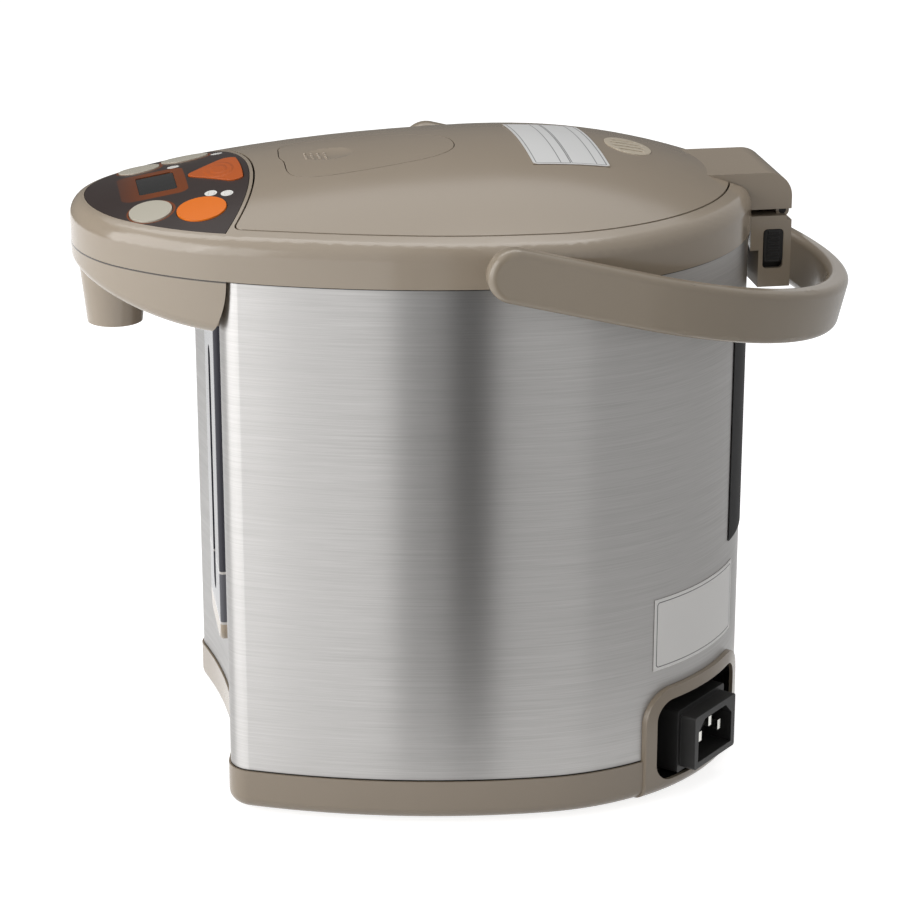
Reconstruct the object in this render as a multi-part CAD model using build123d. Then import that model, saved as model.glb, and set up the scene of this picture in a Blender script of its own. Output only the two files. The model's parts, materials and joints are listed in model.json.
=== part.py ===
from build123d import *
from math import asin, atan2, cos, hypot, radians, sin, sqrt
import os

# An electric thermo pot: a steel-wrapped body that keeps water hot in an inner container, a domed lid
# hinged at the back, a carrying handle, and a nose at the front that holds the control panel above and
# the spout below.  Millimetres.  +Z is up and the pot stands on Z = 0.  The nose points to -Y, and the
# pot is the same on both sides of X = 0 but for its mains inlet, which sits at the back on the +X side.

# ---------------------------------------------------------------- body plan, seen from above
AXIS_Y = 17.0                # upright axis of the container, the mouth and the round back
BODY_HALF_WIDTH = 93.5       # also the radius of the round back
SIDE_RADIUS = 264.5          # the long, slightly bowed sides
FRONT_Y = -94.0              # middle of the hollowed front face
FRONT_RADIUS = 274.0         # hollow of the front face
FRONT_CORNER_RADIUS = 11.0
NOSE_START_Y = -97.5         # where the side turns into the nose
NOSE_TIP_Y = -149.4
NOSE_TIP_RADIUS = 60.0

# ---------------------------------------------------------------- heights
BASE_GAP = 2.0               # underside of the base above the table
BASE_HEIGHT = 16.0
SHEET_HEIGHT = 192.0
CROWN_RISE = 32.2            # highest point of the lid above the steel sheet
BASE_TOP_Z = BASE_GAP + BASE_HEIGHT
SHEET_TOP_Z = BASE_TOP_Z + SHEET_HEIGHT
CROWN_Z = SHEET_TOP_Z + CROWN_RISE
CROWN_OVERHANG = 20.0        # the crowned surface is drawn this far past the pot on every side
ABOVE_ALL_Z = CROWN_Z + CROWN_OVERHANG

# ---------------------------------------------------------------- the crowned top
CROWN_RADIUS = 250.0         # across the pot, and from the middle to the back
CROWN_FRONT_RADIUS = 825.0   # from the middle to the control panel
PANEL_SLOPE = 0.16           # fall of the panel towards the nose tip
CROWN_STATIONS = 12

# ---------------------------------------------------------------- walls and gaps
WALL = 2.5                   # moulded outer walls
SHEET_THICKNESS = 0.6
SHEET_INSET = 0.8            # the steel sits this far behind the mouldings
PART_GAP = 0.4               # visible joint between two mouldings
SEAT_GAP = 0.1               # between pieces that are screwed or clipped together
RUNNING_CLEARANCE = 0.05     # shaft in a bearing, radial
FIT_CLEARANCE = 0.02         # pin that is fixed in its hole, radial
SLIDE_CLEARANCE = 0.15       # each side of a piece that slides in a slot

# ---------------------------------------------------------------- collar round the lid
SHOULDER_RADIUS = 7.0
SEAM_INSET = 9.0             # the lid's edge, measured in from the body outline
SEAM_GAP = 0.7
DECK_THICKNESS = 2.5
DECK_RISE = 1.0              # top of the deck above the steel sheet
MOUTH_RADIUS = 73.0
RECESS_WALL = 2.0            # wall round the lid's recess
NOSE_SKIN = 2.0
BOSS_RADIUS = 3.4
COLLAR_SCREW_RADIUS = 83.5   # circle of four screws through the container's flange

# ---------------------------------------------------------------- lid
LID_FRONT_Y = -80.2
LID_FRONT_RADIUS = 142.6
LID_CORNER_RADIUS = 3.0
LID_LIP = 1.0                # thin edge that shows at the seam
LID_LIP_WIDTH = 1.5
LID_SKIN = 2.2
SKIRT_INSET = 3.5
SKIRT_THICKNESS = 2.0
SKIRT_CLEARANCE = 2.0        # between the skirt's foot and the deck
UNDERSIDE_THICKNESS = 2.0
LID_BOSS_RADIUS = 4.0
LID_SCREW_SPACING = 84.0     # square pattern of four
SCREW_RADIUS = 1.5
SCREW_HEAD_RADIUS = 3.2
SCREW_HEAD_HEIGHT = 1.6

# ---------------------------------------------------------------- inner lid and its seal
PLUG_RADIUS = 67.0
PLUG_WALL = 3.0
PLUG_DEPTH = 6.0
INNER_LID_RADIUS = 69.5
INNER_LID_THICKNESS = 0.6
STEAM_HOLE_RADIUS = 4.0
GASKET_RADIUS = 72.4
GASKET_HEIGHT = 3.2
GASKET_GAP = 0.3             # between the gasket and the container's seal

# ---------------------------------------------------------------- steam outlet
VENT_Y = 64.0
VENT_LENGTH = 26.5           # across the pot
VENT_WIDTH = 17.7
VENT_PROUD = 0.3
VENT_THICKNESS = 2.6
VENT_SLOTS = 4
VENT_SLOT_WIDTH = 1.6
VENT_SLOT_PITCH = 5.0
DUCT_RADIUS = 7.0
DUCT_WALL = 1.5
DUCT_FLANGE_WIDTH = 1.5      # beyond the vent's edge
DUCT_FLANGE_THICKNESS = 1.5

# ---------------------------------------------------------------- lid opening lever and latch
LEVER_OUTLINE = [            # right half of the lever, from the middle of its front edge to its tip
    (0.0, -69.3), (14.0, -69.0), (22.5, -67.0), (26.2, -61.5), (27.0, -54.0),
    (25.8, -42.0), (21.2, -22.5), (16.0, -11.5), (8.5, -5.4), (0.0, -4.0),
]
LEVER_GAP = 0.35
LEVER_THICKNESS = 2.0
LEVER_PIVOT_Y = -10.0
LEVER_PIVOT_DEPTH = 4.6      # pin below the lid's surface
LEVER_PIN_RADIUS = 1.0
LEVER_LUG_RADIUS = 2.5
LEVER_LUGS = (4.2, 7.2)      # from the middle to each lug's inner and outer face
LEVER_POST_GAP = 0.3
LEVER_POST_WIDTH = 3.0
LEVER_POST_TOP = 1.6         # post above the pin's axis
DIMPLE_Y = -56.5
DIMPLE_RADIUS = 9.0
DIMPLE_DEPTH = 0.7
FINGER_Y = -56.0             # back edge of the finger's toe
FINGER_HALF_WIDTH = 4.0
FINGER_TOE = 3.0
FINGER_SLOPE = 0.577         # run of its sloped back face per millimetre of height
FINGER_SLOPE_HEIGHT = 6.0
FINGER_SWING_GAP = 1.4       # behind the finger in the well's floor, for its swing about the pin
PAN_DEPTH = 12.7             # floor of the lever's well below the crown
PAN_WALL = 1.5
LATCH_HALF_WIDTH = 8.0
LATCH_HEIGHT = 4.5
LATCH_LENGTH = 34.0
LATCH_TIP_GAP = 0.3          # bolt tip to the collar's inner wall
LATCH_RISE = 2.3             # bolt above the lid's underside plate
LATCH_ENGAGE = 1.0           # how far the finger reaches into the bolt at rest
LATCH_FINGER_GAP = 0.35
LATCH_SLOT_LENGTH = 2.5      # free run in front of the finger
RAIL_WIDTH = 2.0
RAIL_HEIGHT = 6.0
KEEPER_DEPTH = 1.0

# ---------------------------------------------------------------- hinge at the back of the lid
HINGE_HALF_WIDTH = 21.5
HINGE_REACH = 13.5           # back face behind the body
HINGE_COVER_TOP = 20.3       # above the steel sheet
HINGE_SPLIT = 4.75           # middle of the gap between cover and bracket, above the steel sheet
HINGE_SPLIT_GAP = 2.5
HINGE_COVER_ROUND = 9.5
HINGE_LAP = 20.5             # how far the cover reaches onto the lid, ahead of the body's back
HINGE_EDGE = 2.8             # pin's axis to the back face
HINGE_WALL = 2.0
KNUCKLE_RADIUS = 2.6
KNUCKLE_CLEARANCE = 0.4
KNUCKLE_LENGTH = 18.2        # the lid's knuckle
KNUCKLE_END = 18.5           # outer face of the bracket's knuckles
HINGE_PIN_RADIUS = 1.4
BRACKET_DROP = 24.6          # bracket's foot below the steel sheet's top
BRACKET_STAND = 0.8          # open gap between the body and the bracket's tongue
BRACKET_ROOT_DROP = 10.0     # the bracket's foot on the body reaches this far down
BRACKET_STEP = (2.0, 1.7)    # step along its top back edge that lets the cover swing past
KNUCKLE_GAP = 0.4            # end play between knuckles
SLIDER_SETBACK = 5.7         # from the tongue's front face to the middle of the slide
SLIDER_TOP_DROP = 1.9        # below the steel sheet's top
SLIDER_LENGTH = 12.6
SLIDER_WIDTH = 7.6
SLIDER_CORNER = 1.6
SLIDER_TRAVEL = 2.6
SLIDER_PROUD = 0.8
SLIDER_FLANGE = 1.0
SLIDER_FLANGE_THICKNESS = 1.5
SLIDER_RIBS = 6
SLIDER_RIB_HEIGHT = 1.1

# ---------------------------------------------------------------- carrying handle
HANDLE_PIVOT_Y = 1.5
HANDLE_PIVOT_RISE = 7.0      # above the steel sheet
HANDLE_GAP = 2.4             # between the arms and the widest part of the body
HANDLE_THICKNESS = 8.5
HANDLE_HEIGHT = 20.0
HANDLE_ARM = 46.2            # straight part of each arm
HANDLE_TILT = 14.0           # degrees, folded back and down
HANDLE_ROUND = 3.0
PIVOT_PIN_RADIUS = 4.0
PIVOT_PIN_DEPTH = 6.0        # how far the pin enters the arm
PIVOT_FLANGE_RADIUS = 6.0
PIVOT_HEAD_RADIUS = 4.5
PIVOT_HEAD_THICKNESS = 2.2
PIVOT_PAD_PROUD = 0.1
PIVOT_PAD_THICKNESS = 3.7
PIVOT_SIDE_GAP = 0.3

# ---------------------------------------------------------------- beak under the nose, and the spout
BEAK_DROP = 20.5             # underside of the beak at the body, below the steel sheet's top
BEAK_CURVE_RADIUS = 120.0
BEAK_EDGE_RADIUS = 5.0
BEAK_BACK_Y = -97.3
BEAK_BACK_RADIUS = 42.0      # its back edge curves forward below the steel sheet's top
BEAK_TONGUE_HALF_WIDTH = 54.0
SPOUT_Y = -134.0
SPOUT_DROP = 32.0            # spout mouth below the steel sheet's top
SPOUT_MOUTH_RADIUS = 10.5
SPOUT_TAPER = 0.1            # growth of the radius per millimetre of height
SPOUT_NECK_RADIUS = 7.0
SPOUT_NECK_TOP_DROP = 10.8   # top of the neck below the steel sheet's top
SPOUT_BORE_RADIUS = 3.0
SPOUT_MOUTH_RECESS = 4.0
SPOUT_MOUTH_WALL = 2.0

# ---------------------------------------------------------------- water path
PIPE_RADIUS = 4.2
PIPE_WALL = 1.2
PIPE_DROP = 5.0              # the run into the nose, below the steel sheet's top
PIPE_BEND = 6.0
PIPE_INSERT = 3.7            # how far it enters the spout's neck
PIPE_OVERLAP = 4.0           # how far it enters the gauge tube
PIPE_SLOT_GAP = 0.6
NIPPLE_RADIUS = 5.4          # gauge tube, container port and pump stubs, so that one hose fits all
NIPPLE_WALL = 1.1
GAUGE_Y = -82.0
GAUGE_BOTTOM_Z = 58.0
GAUGE_TOP_Z = 172.0
HOSE_WALL = 1.5
HOSE_OVERLAP = 5.0
HOSE_BEND = 10.0

# ---------------------------------------------------------------- front panel with the level window
FRONT_PANEL_HALF_WIDTH = 21.0
FRONT_PANEL_PROUD = 4.8      # in front of the steel, at the middle
FRONT_PANEL_BOTTOM_Z = 50.0
FRONT_PANEL_CORNER = 8.0
FRONT_PANEL_EDGE = 1.5       # rounding of its front edges
WINDOW_HALF_WIDTH = 4.5
WINDOW_BOTTOM_Z = 66.0
WINDOW_TOP_Z = 166.0

# ---------------------------------------------------------------- control panel
PANEL_INSET = 5.8            # from the nose outline
PANEL_MARGIN = 2.2           # rim between the panel and the lid's front edge
PANEL_GAP = 0.25
PANEL_THICKNESS = 1.4
BUTTON_GAP = 0.25
BUTTON_PROUD = 0.5
BUTTON_TRAVEL = 0.8
BUTTON_TAB = 0.9             # ears on both sides keep a button under the panel
BUTTON_TAB_HALF_WIDTH = 2.5
BUTTON_TAB_THICKNESS = 0.8
BUTTON_TAB_GAP = 0.3
BUTTON_SKIRT = 3.0
BUTTON_STEM_RADIUS = 2.5
BUTTON_STEM_END = 8.0        # depth of the stem's foot below the panel's plane
BOARD_DEPTH = 11.6           # top of the board below the panel's plane
BOARD_INSET = 4.0
BOARD_THICKNESS = 1.6
SWITCH_SIZE = 5.6
SWITCH_CLEARANCE = 0.1       # left when a button is pressed fully
DISPLAY_HALF_WIDTH = 13.0
DISPLAY_HALF_HEIGHT = 7.2
DISPLAY_Y = -116.9
DISPLAY_SINK = 0.3           # glass below the panel's surface
DISPLAY_CORNER = 1.2
DISPLAY_MODULE_MARGIN = 1.6
DISPLAY_MODULE_DEPTH = 4.2
LAMP_LENGTH = 4.6
LAMP_WIDTH = 2.4

# buttons: name, X, Y, half length across the pot, half length along it
OVAL_BUTTONS = [
    ("unlock_button", 39.0, -103.5, 10.0, 9.2),
    ("dispense_button", -39.0, -103.5, 10.0, 9.2),
    ("timer_button", 32.0, -121.5, 9.5, 8.0),
    ("temperature_button", -32.0, -121.5, 9.5, 8.0),
]
REBOIL_FRONT_Y = -106.0
REBOIL_BACK_Y = -86.0
REBOIL_HALF_WIDTH = 21.5
REBOIL_BACK_BULGE = 1.2
REBOIL_CORNER = 3.5
REBOIL_TAB_Y = -91.5
LAMP_PLACES = [(26.0, -98.5), (29.0, -92.8), (-35.0, -91.0), (-21.5, -108.8)]
BOARD_POSTS = [(48.0, -114.0), (-48.0, -114.0), (20.0, -135.0), (-20.0, -135.0)]

# ---------------------------------------------------------------- container and what surrounds it
CONTAINER_RADIUS = 78.5
CONTAINER_WALL = 0.8
CONTAINER_BOTTOM_Z = 50.0
CONTAINER_ROUND = 8.0
CONTAINER_FLANGE_RADIUS = 87.0
CONTAINER_SEAL_HEIGHT = 4.2
CONTAINER_SEAL_RADII = (74.5, 79.4)
SEAL_LIP_RADIUS = 70.0
SEAL_LIP_HEIGHT = 0.9
PORT_LENGTH = 6.0
SLEEVE_GAP = 0.3
SLEEVE_THICKNESS = 5.2
SLEEVE_TOP_GAP = 4.0
HEATER_RADIUS = 42.0
HEATER_THICKNESS = 4.0
THERMISTOR_RADIUS = 6.0
THERMISTOR_HEIGHT = 6.0
FUSE_X = (16.0, 30.0)
FUSE_HALF_WIDTH = 4.0
FRAME_RADIUS = 64.0          # middle of the ring and circle of the legs
FRAME_RING_WIDTH = 10.0
FRAME_RING_HEIGHT = 4.0
LEG_RADIUS = 5.0
LEGS = 4

# ---------------------------------------------------------------- pump
PUMP_Y = -34.0
PUMP_RADIUS = 17.0
PUMP_HEIGHT = 16.5
PUMP_FLOOR = 1.6             # under the magnets
PUMP_OUTLET_RISE = 6.5       # outlet above the housing's foot
PUMP_STUB = 6.0
CHAMBER_RADIUS = 13.5
CHAMBER_HEIGHT = 10.5
IMPELLER_RADIUS = 12.0
IMPELLER_RISE = 0.8          # above the chamber's floor
IMPELLER_DISC = 2.5
IMPELLER_HEIGHT = 8.0
IMPELLER_BLADES = 6
IMPELLER_BLADE_THICKNESS = 1.4
IMPELLER_HUB_RADIUS = 3.0
IMPELLER_PIN_RADIUS = 1.2
MOTOR_RADIUS = 14.0
MOTOR_HEIGHT = 11.6
MOTOR_WALL = 1.5
STATOR_RADIUS = 9.6
STATOR_HEIGHT = 5.0
ROTOR_RADIUS = 9.0
ROTOR_RISE = 2.6             # above the motor's foot
MAGNET_RADIUS = 11.0
MAGNET_HEIGHT = 2.4
SHAFT_RADIUS = 1.5
SHAFT_INSERT = 1.5

# ---------------------------------------------------------------- base and turntable
BASE_EDGE_RADIUS = 5.0
TURNTABLE_Y = 8.0
TURNTABLE_RADIUS = 75.0
TURNTABLE_THICKNESS = 3.8
TURNTABLE_GAP = 1.0          # round the turntable
RECESS_HEIGHT = 5.0          # above the base's underside
BEARING_RADII = (48.0, 52.0)
BEARING_GAP = 0.1
FOOT_HEIGHT = 1.0
FOOT_RADII = (60.0, 70.0)
HUB_RADIUS = 6.0
RETAINER_RADIUS = 9.0
RETAINER_THICKNESS = 1.2

# ---------------------------------------------------------------- electronics in the base
POWER_BOARD_X = (-34.0, 34.0)
POWER_BOARD_Y = (26.0, 62.0)
POWER_BOARD_RISE = 5.0
TRANSFORMER_X = (-26.0, -8.0)
TRANSFORMER_Y = (34.0, 54.0)
TRANSFORMER_HEIGHT = 15.0
CAPACITOR_PLACE = (4.0, 44.0)
CAPACITOR_RADIUS = 5.0
CAPACITOR_HEIGHT = 16.0
RELAY_X = (14.0, 29.0)
RELAY_Y = (36.0, 50.0)
RELAY_HEIGHT = 12.0

# ---------------------------------------------------------------- mains inlet, back right
SOCKET_ANGLE = 45.0          # degrees from +X towards +Y, about the container's axis
ARCH_TOP_Z = 46.0            # moulded arch round the inlet, part of the base
ARCH_HALF_WIDTH = 33.0
ARCH_FRAME = 5.0
ARCH_CORNER = 13.0
ARCH_PROUD = 1.2
ARCH_DEPTH = 7.5             # its inner face, inside the body's round back
NICHE_FOOT_Z = 7.5
NICHE_DEPTH = 13.5           # back of the niche, inside the body's round back
NICHE_WALL = 1.5
INLET_HALF_WIDTH = 15.0
INLET_HEIGHT = 22.0
INLET_FOOT_Z = 10.5
INLET_FLANGE_SINK = 0.5      # front of its flange, inside the body's round back
INLET_PROUD = 6.0            # its face, outside the body's round back
INLET_STEP = 2.0
INLET_CAVITY = (24.5, 16.8)
INLET_CAVITY_DEPTH = 12.5
INLET_CHAMFER = 4.5
PIN_LENGTH = 10.0
PIN_WIDTH = 4.0
PIN_THICKNESS = 2.0
PIN_HALF_SPACING = 7.0
EARTH_PIN_RISE = 4.0

# ---------------------------------------------------------------- labels, left blank
PLATE_THICKNESS = 0.3
LABEL_THICKNESS = 0.2
LABEL_GAP = 0.15             # glue between a label and its surface
REAR_PLATE_HALF_ANGLE = 32.0
REAR_PLATE_Z = (92.0, 175.0)
SIDE_LABEL_ANGLES = (27.0, 61.0)
SIDE_LABEL_Z = (54.0, 83.0)
LID_LABEL_Y = (21.0, 50.2)
LID_LABEL_HALF_WIDTH = 33.0

SIDE_CENTRE_X = SIDE_RADIUS - BODY_HALF_WIDTH
BODY_BACK_Y = AXIS_Y + BODY_HALF_WIDTH
HINGE_BACK_Y = BODY_BACK_Y + HINGE_REACH
HINGE_START_Y = BODY_BACK_Y - HINGE_LAP
BRACKET_FRONT_Y = BODY_BACK_Y + BRACKET_STAND
SLIDER_Y = BRACKET_FRONT_Y + SLIDER_SETBACK
ARCH_INNER_RADIUS = BODY_HALF_WIDTH - ARCH_DEPTH
NICHE_BACK = BODY_HALF_WIDTH - NICHE_DEPTH
INLET_FLANGE_FACE = BODY_HALF_WIDTH - INLET_FLANGE_SINK
INLET_FACE = BODY_HALF_WIDTH + INLET_PROUD
DECK_TOP_Z = SHEET_TOP_Z + DECK_RISE
DECK_BOTTOM_Z = DECK_TOP_Z - DECK_THICKNESS
LID_FLOOR_Z = DECK_TOP_Z + SKIRT_CLEARANCE
UNDERSIDE_TOP_Z = LID_FLOOR_Z + UNDERSIDE_THICKNESS
PANEL_START_Y = LID_FRONT_Y - PANEL_MARGIN
CONTAINER_TOP_Z = DECK_BOTTOM_Z - CONTAINER_SEAL_HEIGHT
FRAME_TOP_Z = CONTAINER_BOTTOM_Z
FRAME_FOOT_Z = FRAME_TOP_Z - FRAME_RING_HEIGHT
RECESS_TOP_Z = BASE_GAP + RECESS_HEIGHT
FLOOR_Z = BASE_GAP + WALL
PLINTH_Z = RECESS_TOP_Z + 2.0
HANDLE_PIVOT_Z = SHEET_TOP_Z + HANDLE_PIVOT_RISE
HINGE_Z = SHEET_TOP_Z + HINGE_SPLIT
HINGE_Y = HINGE_BACK_Y - HINGE_EDGE
COVER_FOOT_Z = HINGE_Z + HINGE_SPLIT_GAP / 2
BRACKET_TOP_Z = HINGE_Z - HINGE_SPLIT_GAP / 2
LATCH_Z = UNDERSIDE_TOP_Z + LATCH_RISE


# ================================================================ small helpers
def block(x0, x1, y0, y1, z0, z1):
    """A box between two corners."""
    middle = Pos((x0 + x1) / 2, (y0 + y1) / 2, (z0 + z1) / 2)
    return middle * Box(abs(x1 - x0), abs(y1 - y0), abs(z1 - z0))


def disc(radius, z0, z1, x=0.0, y=AXIS_Y):
    """An upright cylinder."""
    return Pos(x, y, (z0 + z1) / 2) * Cylinder(radius, z1 - z0)


def tube(outer, inner, z0, z1, x=0.0, y=AXIS_Y):
    """An upright pipe."""
    return disc(outer, z0, z1, x, y) - disc(inner, z0 - 1, z1 + 1, x, y)


def rod(radius, x0, x1, y, z):
    """A cylinder along X."""
    return Pos((x0 + x1) / 2, y, z) * Rot(0, 90, 0) * Cylinder(radius, x1 - x0)


def prism(face, z0, z1):
    """A flat outline raised from z0 to z1."""
    return extrude(Pos(0, 0, z0) * face, amount=z1 - z0, dir=(0, 0, 1))


def arc(centre, radius, start, end):
    """The short arc about a centre between the directions of two points."""
    first = atan2(start[1] - centre[1], start[0] - centre[0])
    last = atan2(end[1] - centre[1], end[0] - centre[0])
    middle = atan2(sin(first) + sin(last), cos(first) + cos(last))
    point = (centre[0] + radius * cos(middle), centre[1] + radius * sin(middle))
    return ThreePointArc(start, point, end)


def circles_meet(centre_a, radius_a, centre_b, radius_b):
    """The crossing of two circles that lies on the +X side."""
    dx, dy = centre_b[0] - centre_a[0], centre_b[1] - centre_a[1]
    apart = hypot(dx, dy)
    along = (radius_a**2 - radius_b**2 + apart**2) / (2 * apart)
    across = sqrt(radius_a**2 - along**2)
    foot = (centre_a[0] + along * dx / apart, centre_a[1] + along * dy / apart)
    crossings = [(foot[0] + s * across * dy / apart, foot[1] - s * across * dx / apart) for s in (1, -1)]
    return max(crossings)


# ================================================================ plan outlines
def shield_plan(side_inset, front_y, front_radius, corner):
    """Round back, bowed sides and a hollowed front, with rounded front corners."""
    half = BODY_HALF_WIDTH - side_inset
    side_radius = SIDE_RADIUS - side_inset
    right_centre, left_centre = (-SIDE_CENTRE_X, AXIS_Y), (SIDE_CENTRE_X, AXIS_Y)
    front_centre = (0.0, front_y - front_radius)
    x, y = circles_meet(right_centre, side_radius, front_centre, front_radius)
    edges = [
        ThreePointArc((half, AXIS_Y), (0, AXIS_Y + half), (-half, AXIS_Y)),
        arc(left_centre, side_radius, (-half, AXIS_Y), (-x, y)),
        arc(front_centre, front_radius, (-x, y), (x, y)),
        arc(right_centre, side_radius, (x, y), (half, AXIS_Y)),
    ]
    face = Face(Wire(edges))
    corners = [v for v in face.vertices() if v.Y < AXIS_Y - 1]
    return face.fillet_2d(corner, corners)


def body_prism(inset, z0, z1):
    """The body's outline, moved in by inset."""
    corner = FRONT_CORNER_RADIUS - inset
    return prism(shield_plan(inset, FRONT_Y + inset, FRONT_RADIUS + inset, corner), z0, z1)


def lid_prism(inset, z0, z1):
    """The lid's outline, moved in by inset, or out where inset is negative."""
    corner = max(LID_CORNER_RADIUS - inset, 1.0)
    face = shield_plan(SEAM_INSET + inset, LID_FRONT_Y + inset, LID_FRONT_RADIUS + inset, corner)
    return prism(face, z0, z1)


def collar_prism(inset, z0, z1):
    """The outline of body and nose together, all arcs tangent to each other."""
    half = BODY_HALF_WIDTH - inset
    lean = asin((AXIS_Y - NOSE_START_Y) / SIDE_RADIUS)
    out = (cos(lean), -sin(lean))
    start = (SIDE_RADIUS * out[0] - SIDE_CENTRE_X, NOSE_START_Y)
    tip_centre = (0.0, NOSE_TIP_Y + NOSE_TIP_RADIUS)
    gap = (start[0] - tip_centre[0], start[1] - tip_centre[1])
    reach = gap[0] * out[0] + gap[1] * out[1]
    cheek_radius = (hypot(*gap) ** 2 - NOSE_TIP_RADIUS**2) / (2 * (reach - NOSE_TIP_RADIUS))
    cheek = (start[0] - cheek_radius * out[0], start[1] - cheek_radius * out[1])
    span = hypot(tip_centre[0] - cheek[0], tip_centre[1] - cheek[1])
    turn = ((tip_centre[0] - cheek[0]) / span, (tip_centre[1] - cheek[1]) / span)
    start = (start[0] - inset * out[0], start[1] - inset * out[1])
    tip_radius = NOSE_TIP_RADIUS - inset
    touch = (tip_centre[0] + tip_radius * turn[0], tip_centre[1] + tip_radius * turn[1])
    edges = [
        ThreePointArc((half, AXIS_Y), (0, AXIS_Y + half), (-half, AXIS_Y)),
        arc((SIDE_CENTRE_X, AXIS_Y), SIDE_RADIUS - inset, (-half, AXIS_Y), (-start[0], start[1])),
        arc((-cheek[0], cheek[1]), cheek_radius - inset, (-start[0], start[1]), (-touch[0], touch[1])),
        ThreePointArc((-touch[0], touch[1]), (0, NOSE_TIP_Y + inset), touch),
        arc(cheek, cheek_radius - inset, touch, start),
        arc((-SIDE_CENTRE_X, AXIS_Y), SIDE_RADIUS - inset, start, (half, AXIS_Y)),
    ]
    return prism(Face(Wire(edges)), z0, z1)


def panel_prism(inset, z0, z1):
    """The control panel's outline: the nose's, cut off by an arc along the lid's front edge."""
    radius = LID_FRONT_RADIUS - PANEL_MARGIN - inset
    front = disc(radius, z0, z1, 0.0, LID_FRONT_Y - LID_FRONT_RADIUS)
    return collar_prism(PANEL_INSET + inset, z0, z1) & front


# ================================================================ the crowned top surface
def crown_height(y):
    """Height of the top along the middle of the pot."""
    def fall(radius, distance):
        return radius - sqrt(radius**2 - distance**2)
    if y >= AXIS_Y:
        return CROWN_Z - fall(CROWN_RADIUS, y - AXIS_Y)
    if y >= PANEL_START_Y:
        return CROWN_Z - fall(CROWN_FRONT_RADIUS, AXIS_Y - y)
    return crown_height(PANEL_START_Y) - PANEL_SLOPE * (PANEL_START_Y - y)


def crown_at(x, y):
    """Height of the top surface anywhere on the pot."""
    return crown_height(y) - (CROWN_RADIUS - sqrt(CROWN_RADIUS**2 - x**2))


def crown_solid():
    """Everything under the top surface, as a loft of crowned slices."""
    reach = BODY_HALF_WIDTH + CROWN_OVERHANG
    front, back = NOSE_TIP_Y - CROWN_OVERHANG, BODY_BACK_Y + CROWN_OVERHANG
    slices = []
    for i in range(CROWN_STATIONS):
        y = front + (back - front) * i / (CROWN_STATIONS - 1)
        edge, middle = crown_at(reach, y), crown_at(0.0, y)
        foot = BASE_GAP
        outline = Wire([
            Line((-reach, y, foot), (reach, y, foot)),
            Line((reach, y, foot), (reach, y, edge)),
            ThreePointArc((reach, y, edge), (0, y, middle), (-reach, y, edge)),
            Line((-reach, y, edge), (-reach, y, foot)),
        ])
        slices.append(Face(outline))
    return loft(slices)


CROWN = crown_solid()


def crown(drop=0.0):
    """Everything that lies lower than the top surface less a drop."""
    return Pos(0, 0, -drop) * CROWN


def under_skin(solid, thickness):
    """What is left of a solid between the top surface and the same surface moved down."""
    return (solid & crown()) - crown(thickness)


# ================================================================ frames of the sloping panel and the inlet
PANEL_STRETCH = sqrt(1 + PANEL_SLOPE**2)
PANEL_PLANE = Plane(
    origin=(0, PANEL_START_Y, crown_height(PANEL_START_Y)),
    x_dir=(1, 0, 0),
    z_dir=(0, -PANEL_SLOPE, 1),
)
SOCKET_PLANE = Plane(
    origin=(0, AXIS_Y, 0),
    x_dir=(-sin(radians(SOCKET_ANGLE)), cos(radians(SOCKET_ANGLE)), 0),
    z_dir=(cos(radians(SOCKET_ANGLE)), sin(radians(SOCKET_ANGLE)), 0),
)


def panel_post(face, x, y, low, high):
    """A flat outline raised square to the control panel, between two heights over its plane."""
    along = (y - PANEL_START_Y) * PANEL_STRETCH
    return extrude(PANEL_PLANE * Pos(x, along, low) * face, amount=high - low, dir=PANEL_PLANE.z_dir)


def socket_block(half_width, foot, top, corner, near, far):
    """A round-cornered block facing the inlet's way, between two distances from the container's axis."""
    outline = Pos(0, (foot + top) / 2) * RectangleRounded(2 * half_width, top - foot, corner)
    return extrude(SOCKET_PLANE * Pos(0, 0, near) * outline, amount=far - near, dir=SOCKET_PLANE.z_dir)


def spread(points, grow):
    """A closed row of points moved outwards along the outline's normals."""
    moved = []
    for i, (x, y) in enumerate(points):
        before, after = points[i - 1], points[(i + 1) % len(points)]
        dx, dy = after[0] - before[0], after[1] - before[1]
        length = hypot(dx, dy)
        moved.append((x + grow * dy / length, y - grow * dx / length))
    return moved


# ================================================================ body shell, base and feet
def outer_shell():
    """The wrapped steel sheet, open above and below."""
    sheet = body_prism(SHEET_INSET, BASE_TOP_Z, SHEET_TOP_Z)
    sheet -= body_prism(SHEET_INSET + SHEET_THICKNESS, BASE_TOP_Z - 1, SHEET_TOP_Z + 1)
    arch = socket_block(
        ARCH_HALF_WIDTH + SEAT_GAP, -ARCH_TOP_Z, ARCH_TOP_Z + SEAT_GAP, ARCH_CORNER + SEAT_GAP,
        AXIS_Y, 2 * BODY_HALF_WIDTH,
    )
    half = WINDOW_HALF_WIDTH
    window = block(-half, half, NOSE_TIP_Y, GAUGE_Y, WINDOW_BOTTOM_Z, WINDOW_TOP_Z)
    return sheet - arch - window - pipe_slot()


def pipe_slot():
    """Notch that the outlet pipe is laid into from above."""
    half = PIPE_RADIUS + PIPE_SLOT_GAP
    run = SHEET_TOP_Z - PIPE_DROP
    return block(-half, half, SPOUT_Y, GAUGE_Y, run - half, SHEET_TOP_Z + 1)


def base_outside(grow, top):
    """The base's outer shape with its rounded lower edge, carried up to a height."""
    solid = body_prism(-grow, BASE_GAP, top)
    return fillet(solid.faces().sort_by(Axis.Z)[0].edges(), BASE_EDGE_RADIUS)


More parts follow.
